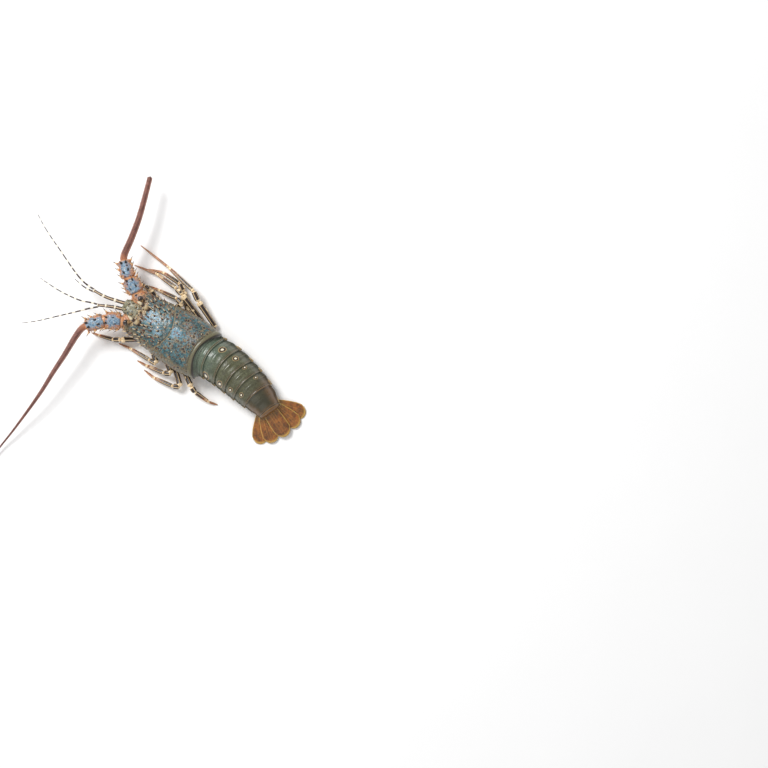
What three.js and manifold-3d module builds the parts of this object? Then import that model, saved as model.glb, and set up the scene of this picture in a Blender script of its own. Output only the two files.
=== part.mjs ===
// A life-size spiny lobster lying belly down with its legs folded along its sides.
// Millimetres. +X is the animal's left, +Y runs from head to tail, +Z is up and the floor is z = 0.
import * as THREE from 'three';
import { mergeVertices } from 'three/addons/utils/BufferGeometryUtils.js';
import Module from 'manifold-3d';

const wasm = await Module();
wasm.setup();

// Driving dimensions
const gap = 0.35;              // clearance between pieces that touch
const blendDepth = 1.2;        // how deep a spine's root is sunk
const sternumFlat = 17;        // half-width of the flat belly between the legs
const eyeRadius = 4.4;
const eyePlace = [20.5, -60.5, 51.5];
const orbitReach = 15;         // no shell spine stands this close to an eye
const hornLength = 25;
const bladeEdge = 0.9;         // thickness of a tail-fan blade at its rim
const bladeRib = 2.2;          // thickness along a blade's middle rib
const endBlock = 8;            // how far a path's end is covered while its neighbour is cut

// Carapace cross-sections: place on the midline, half-width, top, lower edge, and how far the
// flank lies behind the midline (negative is ahead of it)
const carapaceSections = [
  [-54, 31, 48, 24, -12],
  [-40, 33.5, 54, 17, -14],
  [-16, 36.5, 59.5, 13.5, -17],
  [4, 39.5, 61.5, 13.5, -18],
  [20, 42, 62.5, 13.5, -6],
  [36, 42.5, 62, 13.5, 4],
  [51, 38.5, 59.5, 13.5, 15],
];
const carapaceFront = -54;
const carapaceRear = 51;
const cervicalGroove = 4;
const rimGroove = 45.5;
const grooveDepth = 1.3;

// Abdomen cross-sections: place, sideways shift of the midline, half-width, top, flank set-back
const abdomenSections = [
  [44, -0.5, 34.5, 56.5, 11],
  [67, -2, 34, 58, 8],
  [91, -2, 33.5, 56.5, 7],
  [113, 1, 32, 54, 6],
  [132, 4.5, 30, 50.5, 5],
  [154, 9.5, 26.5, 45, 4],
  [183, 19.5, 18, 30, 2],
  [205, 30, 16, 23, 2],
];
const tergiteEdges = [51, 67, 91, 113, 132, 154, 183];

const palette = {
  shell: 0x3f7f86, plate: 0x8a8a62, eye: 0x1c1612, peduncle: 0x6f9fc8, flagellum: 0x6b3f36,
  antennule: 0xcdb48a, leg: 0x4a2f1d, legTip: 0xb5672c, abdomen: 0x5c6a45, fan: 0xa8641e,
  belly: 0xcfb690,
};

const lobster = new THREE.Group();
lobster.name = 'spiny_lobster';

// Numbers

function seededRandom(seed) {
  let state = seed;
  return () => {
    state = (state + 0x6d2b79f5) | 0;
    let mixed = Math.imul(state ^ (state >>> 15), 1 | state);
    mixed = (mixed + Math.imul(mixed ^ (mixed >>> 7), 61 | mixed)) ^ mixed;
    return ((mixed ^ (mixed >>> 14)) >>> 0) / 4294967296;
  };
}

// A smooth curve through one column of a table of sections
function smoothColumn(table, column, at) {
  const last = table.length - 1;
  const place = Math.min(Math.max(at, table[0][0]), table[last][0]);
  let k = 0;
  while (k < last - 1 && place > table[k + 1][0]) k += 1;
  const slope = (i) => {
    const before = table[Math.max(i - 1, 0)];
    const after = table[Math.min(i + 1, last)];
    return (after[column] - before[column]) / (after[0] - before[0]);
  };
  const span = table[k + 1][0] - table[k][0];
  const t = (place - table[k][0]) / span;
  const start = table[k][column];
  const end = table[k + 1][column];
  return start * (1 + 2 * t) * (1 - t) ** 2 + slope(k) * span * t * (1 - t) ** 2
    + end * t * t * (3 - 2 * t) + slope(k + 1) * span * t * t * (t - 1);
}

function dip(at, centre, width) {
  return Math.max(0, 1 - Math.abs(at - centre) / width);
}

function vector(list) {
  return new THREE.Vector3(...list);
}

// Solids

function solidFromMesh(positions, triangles) {
  let signedVolume = 0;
  const corner = (i) => new THREE.Vector3(...positions[i]);
  for (const [a, b, c] of triangles) {
    signedVolume += corner(a).dot(corner(b).cross(corner(c)));
  }
  const outward = signedVolume > 0 ? triangles : triangles.map(([a, b, c]) => [a, c, b]);
  return new wasm.Manifold(new wasm.Mesh({
    numProp: 3,
    vertProperties: Float32Array.from(positions.flat()),
    triVerts: Uint32Array.from(outward.flat()),
  }));
}

function solidFromGeometry(geometry) {
  const bare = geometry.clone();
  bare.deleteAttribute('normal');
  bare.deleteAttribute('uv');
  const merged = mergeVertices(bare, 1e-4);
  const place = merged.attributes.position;
  const positions = [];
  for (let i = 0; i < place.count; i += 1) {
    positions.push([place.getX(i), place.getY(i), place.getZ(i)]);
  }
  const triangles = [];
  for (let i = 0; i < merged.index.count; i += 3) {
    const face = [0, 1, 2].map((k) => merged.index.getX(i + k));
    if (new Set(face).size === 3) triangles.push(face);
  }
  return solidFromMesh(positions, triangles);
}

// Skins a row of rings that all have the same number of points, and closes both ends on a
// point, by default the ring's middle
function loft(rings, firstPole, lastPole) {
  const sides = rings[0].length;
  const positions = rings.flat();
  const middle = (ring) => [0, 1, 2].map((k) => ring.reduce((sum, p) => sum + p[k], 0) / sides);
  const first = positions.push(firstPole ?? middle(rings[0])) - 1;
  const last = positions.push(lastPole ?? middle(rings[rings.length - 1])) - 1;
  const triangles = [];
  for (let i = 0; i < sides; i += 1) {
    const next = (i + 1) % sides;
    for (let r = 0; r + 1 < rings.length; r += 1) {
      const low = r * sides;
      const high = low + sides;
      triangles.push([low + i, low + next, high + next], [low + i, high + next, high + i]);
    }
    const end = (rings.length - 1) * sides;
    triangles.push([first, next, i], [last, end + i, end + next]);
  }
  return solidFromMesh(positions, triangles);
}

function fuse(solids) {
  return wasm.Manifold.union(solids);
}

// The largest closed surface of a solid, with its sealed hollows filled
function largestBody(solid) {
  const bodies = solid.decompose();
  bodies.sort((a, b) => Math.abs(b.volume()) - Math.abs(a.volume()));
  return bodies[0];
}

function cutClear(solid, neighbours) {
  return neighbours.reduce((rest, neighbour) => rest.subtract(neighbour), solid);
}

function addNode(name, solid, colour, roughness = 0.45) {
  const body = largestBody(solid.trimByPlane([0, 0, 1], 0));
  const mesh = body.getMesh();
  const geometry = new THREE.BufferGeometry();
  geometry.setAttribute('position', new THREE.BufferAttribute(mesh.vertProperties, 3));
  geometry.setIndex(new THREE.BufferAttribute(mesh.triVerts, 1));
  geometry.computeVertexNormals();
  const material = new THREE.MeshStandardMaterial({ color: colour, roughness, metalness: 0 });
  const node = new THREE.Mesh(geometry, material);
  node.name = name;
  lobster.add(node);
}

// A limb piece between two points. The profile lists fractions of the length and radii,
// squash flattens it, and grow swells it all round for cutting a neighbour
function limbPiece(from, to, profile, { sides = 8, squash = 1, grow = 0 } = {}) {
  const start = vector(from);
  const axis = vector(to).sub(start);
  const length = axis.length();
  axis.normalize();
  const across = new THREE.Vector3(axis.y, -axis.x, 0).normalize();
  const upward = new THREE.Vector3().crossVectors(across, axis);
  const rings = profile.map(([fraction, radius], row) => {
    let push = 0;
    if (row === 0) push = -grow;
    if (row === profile.length - 1) push = grow;
    const centre = start.clone().addScaledVector(axis, fraction * length + push);
    return Array.from({ length: sides }, (_, i) => {
      const turn = ((i + 0.5) / sides) * 2 * Math.PI;
      return centre.clone()
        .addScaledVector(across, Math.cos(turn) * (radius + grow))
        .addScaledVector(upward, Math.sin(turn) * (radius * squash + grow))
        .toArray();
    });
  });
  return loft(rings);
}

// A tapering whip along a smooth curve through a few points
function whip(points, startRadius, endRadius, { steps = 16, sides = 8, grow = 0, ease = 1 } = {}) {
  const curve = new THREE.CatmullRomCurve3(points.map(vector), false, 'centripetal');
  const rings = Array.from({ length: steps + 1 }, (_, row) => {
    const t = row / steps;
    const centre = curve.getPointAt(t);
    const axis = curve.getTangentAt(t);
    const across = new THREE.Vector3(axis.y, -axis.x, 0).normalize();
    const upward = new THREE.Vector3().crossVectors(across, axis);
    const radius = endRadius + (startRadius - endRadius) * (1 - t) ** ease + grow;
    return Array.from({ length: sides }, (_, i) => {
      const turn = ((i + 0.5) / sides) * 2 * Math.PI;
      return centre.clone()
        .addScaledVector(across, Math.cos(turn) * radius)
        .addScaledVector(upward, Math.sin(turn) * radius)
        .toArray();
    });
  });
  return loft(rings);
}

// A block over the last few millimetres of a path, which holds the next piece a gap clear of it
function pathEnd(points, radius) {
  const tip = vector(points[points.length - 1]);
  const along = tip.clone().sub(vector(points[points.length - 2])).normalize();
  const back = tip.clone().addScaledVector(along, -endBlock).toArray();
  return limbPiece(back, tip.addScaledVector(along, gap).toArray(), [[0, radius], [1, radius]]);
}

// A spine: a five-sided cone with its root sunk below the surface point it grows from
function spine(root, direction, length, radius) {
  const cone = new THREE.ConeGeometry(radius, length + blendDepth, 5, 1);
  cone.translate(0, (length - blendDepth) / 2, 0);
  const along = vector(direction).normalize();
  cone.applyQuaternion(new THREE.Quaternion().setFromUnitVectors(new THREE.Vector3(0, 1, 0), along));
  cone.translate(...root);
  return solidFromGeometry(cone);
}

// Carapace

const carapaceSides = 26;

function carapacePoint(along, turn, grow = 0) {
  const groove = grooveDepth * (dip(along, cervicalGroove, 2.5) + 0.6 * dip(along, rimGroove, 2.2));
  const halfWidth = smoothColumn(carapaceSections, 1, along) + grow - groove;
  const top = smoothColumn(carapaceSections, 2, along) + grow - groove;
  const bottom = smoothColumn(carapaceSections, 3, along) - grow;
  const setBack = smoothColumn(carapaceSections, 4, along);
  const widest = bottom + 0.38 * (top - bottom);
  let x;
  let z;
  if (turn <= Math.PI) {
    x = Math.sign(Math.cos(turn)) * Math.abs(Math.cos(turn)) ** 0.88 * halfWidth;
    z = widest + Math.abs(Math.sin(turn)) ** 0.88 * (top - widest);
  } else {
    const under = (turn - Math.PI) / Math.PI;
    const fold = Math.min(1, 2.9 * Math.min(under, 1 - under));
    const reach = 1 - 0.22 * fold ** 1.6;
    const inward = Math.max(0, 1 - Math.abs(under - 0.5) / 0.155);
    x = (under < 0.5 ? -1 : 1) * halfWidth * reach * (1 - Math.min(1, inward));
    z = widest + (bottom - widest) * fold;
  }
  const share = Math.min(1, Math.abs(x) / halfWidth);
  return [x, along + setBack * share * share, z];
}

function carapaceLoft(grow = 0) {
  const places = [carapaceFront - grow, -49, -43, -36, -28, -20, -12, -4, 1.4, 4, 6.6, 14, 22, 30,
    37, 43, 45.5, 48, carapaceRear + grow];
  const rings = places.map((along) => Array.from({ length: carapaceSides }, (_, i) => (
    carapacePoint(along, (i / carapaceSides) * 2 * Math.PI, grow)
  )));
  return loft(rings, [0, carapaceFront + 2 - grow, 36], [0, carapaceRear + 1 + grow, 36]);
}

function surfaceNormal(pointAt, along, turn) {
  const step = 0.01;
  const here = vector(pointAt(along, turn));
  const forward = vector(pointAt(along + 1, turn)).sub(here);
  const around = vector(pointAt(along, turn + step)).sub(here);
  return forward.cross(around).normalize();
}

// Spines stand on the upper shell, longest and closest at the front, and lean forward
function carapaceSpines() {
  const random = seededRandom(11);
  const spines = [];
  const rows = 12;
  for (let row = 0; row < rows; row += 1) {
    const front = 1 - row / (rows - 1);
    const count = front > 0.4 ? 8 : 5;
    for (let k = 0; k < count; k += 1) {
      const spread = (k + 0.5 + (row % 2 ? 0.25 : -0.25)) / count;
      const turn = Math.PI * (0.04 + 0.92 * spread) + 0.08 * (random() - 0.5);
      const place = -50 + row * 7.4 + 2.4 * (random() - 0.5);
      const length = 2.6 + 4.4 * front ** 1.3 + 1.4 * random() * front;
      const root = carapacePoint(place, turn);
      const eye = [Math.sign(root[0]) * eyePlace[0], eyePlace[1], eyePlace[2]];
      if (vector(root).distanceTo(vector(eye)) < orbitReach || root[1] < -56) continue;
      const lean = surfaceNormal(carapacePoint, place, turn).add(new THREE.Vector3(0, -0.75, 0));
      spines.push(spine(root, lean.toArray(), length, 0.9 + 0.17 * length));
    }
  }
  return spines;
}

// The two long curved horns over the eyes
function horn(side) {
  const base = [side * 12, -40, 50];
  const middle = [side * 13, -40 - 0.42 * hornLength, 51 + 0.42 * hornLength];
  const tip = [side * 12, -40 - 0.75 * hornLength, 50 + 0.82 * hornLength];
  return whip([base, middle, tip], 4.6, 0.4, { steps: 5, sides: 8, ease: 0.8 });
}

addNode('carapace', fuse([carapaceLoft(), horn(-1), horn(1), ...carapaceSpines()]), palette.shell, 0.4);
const carapaceGrown = carapaceLoft(gap);

// Belly: the sternum with the leg sockets at its sides, and the mouth frame ahead of it

const bellySections = [
  [-50, 12, 14],
  [-38, 15, 4],
  [-28, 18, 0],
  [36, 24, 0],
  [46, 25, 3],
];

function bellyLoft(grow = 0) {
  const rings = [-50 - grow, -44, -38, -33, -28, -8, 12, 36, 46 + grow].map((along) => {
    const half = smoothColumn(bellySections, 1, along) + grow;
    const low = smoothColumn(bellySections, 2, along) - grow;
    const flat = sternumFlat * (half / 24);
    return [[half, along, 24], [half, along, low + 7], [flat, along, low], [-flat, along, low],
      [-half, along, low + 7], [-half, along, 24]];
  });
  return loft(rings);
}

function mouthparts() {
  return [-1, 1].map((side) => limbPiece([side * 4, -40, 10], [side * 3, -55, 14],
    [[0, 3], [0.5, 3.6], [1, 1.5]], { sides: 7 }));
}

addNode('belly', cutClear(fuse([bellyLoft(), ...mouthparts()]), [carapaceGrown]), palette.belly, 0.6);
const bellyGrown = bellyLoft(gap);

// Abdomen: six rings, each tucked under the rim of the one ahead

function abdomenPoint(along, turn, bell, keel, grow = 0) {
  const column = (k) => smoothColumn(abdomenSections, k, along);
  const halfWidth = column(2) + bell + grow;
  const top = column(3) + bell + grow;
  const widest = 0.32 * column(3);
  const low = widest * keel - grow;
  const roof = widest * 0.5 - grow;
  let across;
  let z;
  if (turn <= Math.PI) {
    across = Math.sign(Math.cos(turn)) * Math.abs(Math.cos(turn)) ** 0.94 * halfWidth;
    z = widest + Math.abs(Math.sin(turn)) ** 0.94 * (top - widest);
  } else {
    // Under the flanks: outer and inner edge of the side flap, then the belly's roof
    const levels = { side: (widest + low) / 2, low, roof };
    const under = [[1, 'side'], [0.95, 'low'], [0.86, 'low'], [0.5, 'roof'], [0, 'roof']];
    const step = Math.round(((turn - Math.PI) / Math.PI) * 10);
    const [reach, level] = under[Math.min(step, 10 - step) - 1];
    across = (step <= 5 ? -1 : 1) * reach * halfWidth;
    z = levels[level];
  }
  const heading = Math.atan((smoothColumn(abdomenSections, 1, along + 1)
    - smoothColumn(abdomenSections, 1, along - 1)) / 2);
  const setBack = column(4) * (across / halfWidth) ** 2;
  return [column(1) + across * Math.cos(heading) + setBack * Math.sin(heading),
    along - across * Math.sin(heading) + setBack * Math.cos(heading), z];
}

const crownTurn = 7;
const abdomenTurns = [
  ...Array.from({ length: 2 * crownTurn + 1 }, (_, i) => (i / (2 * crownTurn)) * Math.PI),
  ...Array.from({ length: 9 }, (_, i) => Math.PI + ((i + 1) / 10) * Math.PI),
];

// Bell and keel run along one ring: how far it swells, and how low its side flaps hang
const tergiteProfile = [
  [0, -1.7, 0.75], [0.14, -1.1, 0.7], [0.4, 0, 0.4], [0.58, -0.5, 0.18], [0.8, 0.5, 0.06],
  [1, 0.6, 0.3],
];
const tuck = 4;

function tergiteLoft(index, grow = 0) {
  const start = tergiteEdges[index] - tuck;
  const end = tergiteEdges[index + 1];
  const rings = tergiteProfile.map(([share, bell, keel], row) => {
    let along = tergiteEdges[index] + share * (end - tergiteEdges[index]);
    if (row === 0) along = start - grow;
    if (row === tergiteProfile.length - 1) along = end + grow;
    return abdomenTurns.map((turn) => abdomenPoint(along, turn, bell, keel, grow));
  });
  const pole = (ring) => {
    const crown = ring[crownTurn];
    return [crown[0], crown[1] + 0.5, 0.55 * crown[2]];
  };
  return loft(rings, pole(rings[0]), pole(rings[rings.length - 1]));
}

// Swimmerets: a pair of small leaves hanging back under each ring
function swimmerets(index) {
  const middle = (tergiteEdges[index] + tergiteEdges[index + 1]) / 2;
  const centre = smoothColumn(abdomenSections, 1, middle);
  const roof = 0.16 * smoothColumn(abdomenSections, 3, middle);
  return [-1, 1].map((side) => limbPiece([centre + side * 9, middle - 3, roof + 1],
    [centre + side * 14, middle + 9, 1.2], [[0, 2], [0.4, 3.6], [0.8, 3], [1, 0.8]],
    { sides: 6, squash: 0.35 }));
}

let ahead = [carapaceGrown, bellyGrown];
for (let index = 0; index < 6; index += 1) {
  const pieces = [tergiteLoft(index)];
  if (index > 0 && index < 5) pieces.push(...swimmerets(index));
  const shape = cutClear(fuse(pieces), ahead);
  addNode(`abdomen_ring_${index + 1}`, shape, palette.abdomen, 0.3);
  ahead = [tergiteLoft(index, gap)];
}

// Tail fan: the telson over two pairs of uropods

// A blade that widens to a rounded end. Both faces share one grid, so they never cross
function fanBlade({ root, heading, length, rootWidth, endWidth, drop, camber }, grow = 0) {
  const stepsAlong = 8;
  const stepsAcross = 6;
  const direction = [Math.sin(heading), Math.cos(heading)];
  const across = [Math.cos(heading), -Math.sin(heading)];
  const faces = [1, -1].map((face) => Array.from({ length: stepsAlong + 1 }, (_, i) => {
    const t = i / stepsAlong;
    const half = (rootWidth + (endWidth - rootWidth) * Math.sin(Math.min(1, t * 1.25) * Math.PI / 2)) / 2;
    return Array.from({ length: stepsAcross + 1 }, (__, j) => {
      const v = (j / stepsAcross) * 2 - 1;
      const rounding = 1 - 0.22 * Math.abs(v) ** 2.5 * t ** 2;
      const reach = t * length * rounding;
      const side = v * (half + grow);
      const ribs = 0.25 * Math.cos(v * 4 * Math.PI) * Math.sin(Math.PI * t);
      const thick = bladeEdge + (bladeRib - bladeEdge) * (1 - Math.abs(v)) * (1 - 0.6 * t) + ribs;
      const z = root[2] - drop * t ** 0.8 - camber * v * v + face * (thick / 2 + grow);
      return [root[0] + direction[0] * reach + across[0] * side,
        root[1] + direction[1] * reach + across[1] * side, z];
    });
  }));
  const positions = faces.flat(2);
  const row = stepsAcross + 1;
  const sheet = row * (stepsAlong + 1);
  const triangles = [];
  for (let i = 0; i < stepsAlong; i += 1) {
    for (let j = 0; j < stepsAcross; j += 1) {
      const a = i * row + j;
      const quad = [[a, a + 1, a + row + 1], [a, a + row + 1, a + row]];
      triangles.push(...quad, ...quad.map((face) => face.map((k) => k + sheet).reverse()));
    }
  }
  const edge = [];
  for (let j = 0; j < stepsAcross; j += 1) edge.push(j);
  for (let i = 0; i < stepsAlong; i += 1) edge.push(i * row + stepsAcross);
  for (let j = stepsAcross; j > 0; j -= 1) edge.push(stepsAlong * row + j);
  for (let i = stepsAlong; i > 0; i -= 1) edge.push(i * row);
  edge.forEach((a, k) => {
    const b = edge[(k + 1) % edge.length];
    triangles.push([b, a, a + sheet], [b, a + sheet, b + sheet]);
  });
  return solidFromMesh(positions, triangles);
}

const tailEnd = tergiteEdges[6];
const tailHeading = 0.43;
const tailMiddle = smoothColumn(abdomenSections, 1, tailEnd);

function tailRoot(sideways, back, height) {
  return [tailMiddle + sideways * Math.cos(tailHeading) + back * Math.sin(tailHeading),
    tailEnd - sideways * Math.sin(tailHeading) + back * Math.cos(tailHeading), height];
}

const telson = {
  root: tailRoot(0, -4, 19), heading: tailHeading, length: 50, rootWidth: 22, endWidth: 26,
  drop: 12.2, camber: 0.5,
};
addNode('telson', cutClear(fanBlade(telson), ahead), palette.fan, 0.3);
for (const side of [-1, 1]) {
  const name = side > 0 ? 'left' : 'right';
  const inner = {
    root: tailRoot(side * 10, -3, 12.5), heading: tailHeading + side * 0.27, length: 48,
    rootWidth: 13, endWidth: 25, drop: 9.3, camber: 0.3,
  };
  const outer = {
    root: tailRoot(side * 13, -5, 8.5), heading: tailHeading + side * 0.6, length: 48,
    rootWidth: 11, endWidth: 25, drop: 8, camber: 0.3,
  };
  addNode(`uropod_inner_${name}`, cutClear(fanBlade(inner), ahead), palette.fan, 0.3);
  addNode(`uropod_outer_${name}`, cutClear(fanBlade(outer), ahead), palette.fan, 0.3);
}

// Head: the plate between the antennae, the eyes, the antennae and the antennules

const plateSections = [
  [-46, 14, 43, 22],
  [-60, 13, 44, 21],
  [-72, 11.5, 43, 24],
  [-80, 8.5, 39, 29],
];

function frontPlateLoft(grow = 0) {
  const places = [-46, -54, -62, -70, -76, -80 - grow];
  const table = [...plateSections].reverse();
  const rings = places.map((along) => {
    const half = smoothColumn(table, 1, along) + grow;
    const top = smoothColumn(table, 2, along) + grow;
    const low = smoothColumn(table, 3, along) - grow;
    return Array.from({ length: 12 }, (_, i) => {
      const turn = ((i + 0.5) / 12) * 2 * Math.PI;
      const x = Math.sign(Math.cos(turn)) * Math.abs(Math.cos(turn)) ** 0.6 * half;
      const z = (top + low) / 2 + Math.sign(Math.sin(turn)) * Math.abs(Math.sin(turn)) ** 0.6
        * (top - low) / 2;
      return [x, along, z];
    });
  });
  return loft(rings);
}

const plateSpines = [[-6, -60, 7], [6, -60, 7], [-5, -72, 5.5], [5, -72, 5.5]].map(
  ([x, y, length]) => spine([x, y, 43], [0.2 * Math.sign(x), -0.5, 1], length, 1.9),
);
addNode('front_plate', cutClear(fuse([frontPlateLoft(), ...plateSpines]), [carapaceGrown, bellyGrown]),
  palette.plate, 0.5);
const frontPlateGrown = frontPlateLoft(gap);

const sides = [
  {
    name: 'right',
    side: -1,
    joints: [[-15, -54, 31], [-24, -72, 35], [-36.5, -93, 39], [-55, -114.5, 40]],
    flagella: [
      [[-53.5, -113, 40], [-60, -116.4, 40], [-88.8, -121.3, 39.5], [-117.9, -127.4, 39],
        [-144.2, -135.2, 38], [-179.8, -147, 36]],
    ],
    flagellumRadii: [[4.9, 3.6]],
    antennule: [[-3.5, -74, 35], [1.5, -92, 36], [5.5, -110, 35.5], [6.7, -129.9, 34]],
    whips: [
      [[5.2, -128, 34], [4.8, -143, 32.5], [1.7, -158.6, 30], [-16.7, -205.7, 22],
        [-32.2, -244.2, 13], [-44.5, -268.6, 5]],
      [[8.4, -128, 34], [10, -142, 32], [7.5, -163, 29]],
    ],
  },
  {
    name: 'left',
    side: 1,
    joints: [[15, -54, 31], [23.5, -69, 35], [35, -91, 39], [57.5, -110, 40]],
    flagella: [
      [[56, -109.5, 40], [64, -112.6, 40], [76.9, -113.9, 39], [109.8, -113.8, 37], [141, -115, 34]],
      [[141, -115, 34], [171.6, -115.6, 30], [200.3, -117.9, 25], [226.1, -121, 19], [253, -124.5, 13]],
      [[253, -124.5, 13], [280.7, -128.6, 8], [335, -133, 3.4], [390, -131, 1]],
    ],
    flagellumRadii: [[4.9, 3.4], [3.4, 1.6], [1.6, 0.35]],
    antennule: [[5.5, -74, 35], [13.5, -95, 35.5], [22.3, -113.1, 34]],
    whips: [
      [[23.6, -110.5, 34], [33, -121, 31.5], [48.8, -136.5, 28], [67.9, -156.6, 20],
        [92.4, -182.3, 11], [107.5, -201.2, 4]],
      [[20.4, -111.5, 33.5], [24.5, -124, 31], [30, -138.9, 28], [35, -174.3, 17], [35.3, -212.5, 5]],
    ],
  },
];

const peduncleProfiles = [
  [[0, 12], [0.5, 13.5], [1, 11.5]],
  [[0, 10.5], [0.2, 12.6], [0.8, 12.8], [1, 10]],
  [[0, 9], [0.2, 10.8], [0.75, 9.8], [0.92, 9], [1, 7]],
];
const peduncleSquash = 0.8;

// Black-tipped spines stand along both edges and the top of each antennal segment
function peduncleSpines(from, to, radius, side, random) {
  const axis = vector(to).sub(vector(from));
  const across = new THREE.Vector3(axis.y, -axis.x, 0).normalize().multiplyScalar(-side);
  const spines = [];
  const rows = [[-1, 3], [-0.35, 2], [0.35, 2], [1, 3]];
  for (const [lean, count] of rows) {
    for (let k = 0; k < count; k += 1) {
      const share = (k + 0.7 + 0.3 * (random() - 0.5)) / count;
      const rise = Math.sqrt(1 - lean * lean * 0.94);
      const out = across.clone().multiplyScalar(lean).add(new THREE.Vector3(0, 0, rise));
      const root = vector(from).addScaledVector(axis, Math.min(share, 0.92))
        .addScaledVector(across, lean * radius * 0.96)
        .add(new THREE.Vector3(0, 0, rise * radius * peduncleSquash * 0.96));
      const direction = out.addScaledVector(axis, 0.8 / axis.length());
      const length = (Math.abs(lean) === 1 ? 5.2 : 3.4) + 1.5 * random();
      spines.push(spine(root.toArray(), direction.toArray(), length, 1.5));
    }
  }
  return spines;
}

const headGrown = [carapaceGrown, frontPlateGrown];
for (const { name, side, joints, flagella, flagellumRadii, antennule, whips } of sides) {
  const random = seededRandom(side > 0 ? 21 : 37);
  const segment = (k, grow = 0) => limbPiece(joints[k], joints[k + 1], peduncleProfiles[k],
    { sides: 12, squash: peduncleSquash, grow });
  const spines = [1, 2].flatMap((k) => peduncleSpines(joints[k], joints[k + 1],
    peduncleProfiles[k][1][1], side, random));
  addNode(`antenna_base_${name}`,
    cutClear(fuse([segment(0), segment(1), segment(2), ...spines]), headGrown), palette.peduncle, 0.4);
  const peduncleGrown = [segment(0, gap), segment(1, gap), segment(2, gap)];

  let before = peduncleGrown;
  flagella.forEach((points, k) => {
    const [start, end] = flagellumRadii[k];
    const number = flagella.length > 1 ? `_${k + 1}` : '';
    const shape = whip(points, start, end, { steps: 12, sides: 9 });
    addNode(`antenna_${name}${number}`, cutClear(shape, before), palette.flagellum, 0.5);
    before = [pathEnd(points, end + 3)];
  });

  const stem = whip(antennule, 2.9, 2, { steps: 9, sides: 8 });
  addNode(`antennule_base_${name}`, cutClear(stem, [frontPlateGrown]), palette.antennule, 0.5);
  const stemEnd = pathEnd(antennule, 5);
  whips.forEach((points, k) => {
    const shape = whip(points, 1.15, 0.35, { steps: 14, sides: 6, ease: 0.8 });
    addNode(`antennule_${name}_${k + 1}`, cutClear(shape, [stemEnd]), palette.antennule, 0.5);
  });

  const eyeCentre = [side * eyePlace[0], eyePlace[1], eyePlace[2]];
  const ball = new THREE.SphereGeometry(eyeRadius, 12, 8);
  ball.translate(...eyeCentre);
  const stalk = limbPiece([side * 11, -52, 46], [side * 19.5, -59.5, 50.8], [[0, 2.8], [1, 3.4]]);
  addNode(`eye_${name}`, cutClear(fuse([solidFromGeometry(ball), stalk]),
    [...headGrown, ...peduncleGrown]), palette.eye, 0.15);

  const jaw = fuse([
    limbPiece([side * 9, -34, 5], [side * 12, -52, 6], [[0, 3], [0.5, 4.2], [1, 3]], { sides: 7 }),
    limbPiece([side * 12, -51, 6], [side * 9, -66, 9], [[0, 3], [0.5, 3.4], [1, 2.4]], { sides: 7 }),
    limbPiece([side * 9.3, -65, 9], [side * 4.5, -73, 13], [[0, 2.4], [0.6, 2.2], [1, 0.8]],
      { sides: 7 }),
  ]);
  addNode(`maxilliped_${name}`, cutClear(jaw, [bellyGrown, carapaceGrown]), palette.leg, 0.5);
}

// Legs: hip, knee, wrist, ankle and tip of each, from head to tail

const legJoints = {
  left: [
    [[15, -34, 9], [31, -35, 8], [48, -59, 20], [54, -69, 16], [61, -93, 6], [64, -105, 0.6]],
    [[16, -18, 9], [32, -18, 8], [50.5, 4, 17], [51, -7, 14], [52.5, -42, 7], [56, -62, 0.6]],
    [[17, -2, 9], [35, 6, 8], [51, 31, 18], [56, 21, 15], [61.5, -9, 6], [63, -25, 0.6]],
    [[18, 15, 9], [37, 24, 7.5], [61, 52, 12], [66, 42, 12], [71, 10, 6], [69.3, -9, 0.6]],
    [[19, 31, 9], [35, 39, 7.5], [52, 66, 15], [56, 75, 12], [58, 99, 5], [55, 112, 0.6]],
  ],
  right: [
    [[-15, -34, 9], [-29, -38, 8], [-37, -62, 14], [-38, -72, 12], [-36, -91, 6], [-33, -103, 0.6]],
    [[-16, -18, 9], [-31, -19, 8], [-46, -10, 22], [-48, -21, 19], [-44, -53, 7], [-41, -70, 0.6]],
    [[-17, -2, 9], [-35, 6, 7.5], [-62, -20, 7.5], [-69, -32, 8], [-69.5, -62, 6], [-62, -84, 0.6]],
    [[-18, 15, 9], [-38, 30, 8], [-57, -17, 21], [-60.5, -30, 19], [-63, -68, 9], [-56, -105, 0.6]],
    [[-19, 31, 9], [-42, 49, 8], [-61, 8, 17], [-70.5, -6, 20], [-80.5, -58, 10], [-86, -113, 0.6]],
  ],
};
const legProfiles = {
  hip: [[0, 6], [0.4, 5.6], [0.75, 4.4], [1, 3.8]],
  thigh: [[0, 3.3], [0.15, 3.8], [0.75, 4.2], [0.92, 4.6], [1, 3.6]],
  knee: [[0, 3], [0.3, 4], [0.85, 3.9], [1, 2.8]],
  shin: [[0, 2.7], [0.2, 3.2], [0.8, 2.7], [1, 2]],
  foot: [[0, 1.9], [0.5, 1.8], [1, 0.6]],
};

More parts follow.
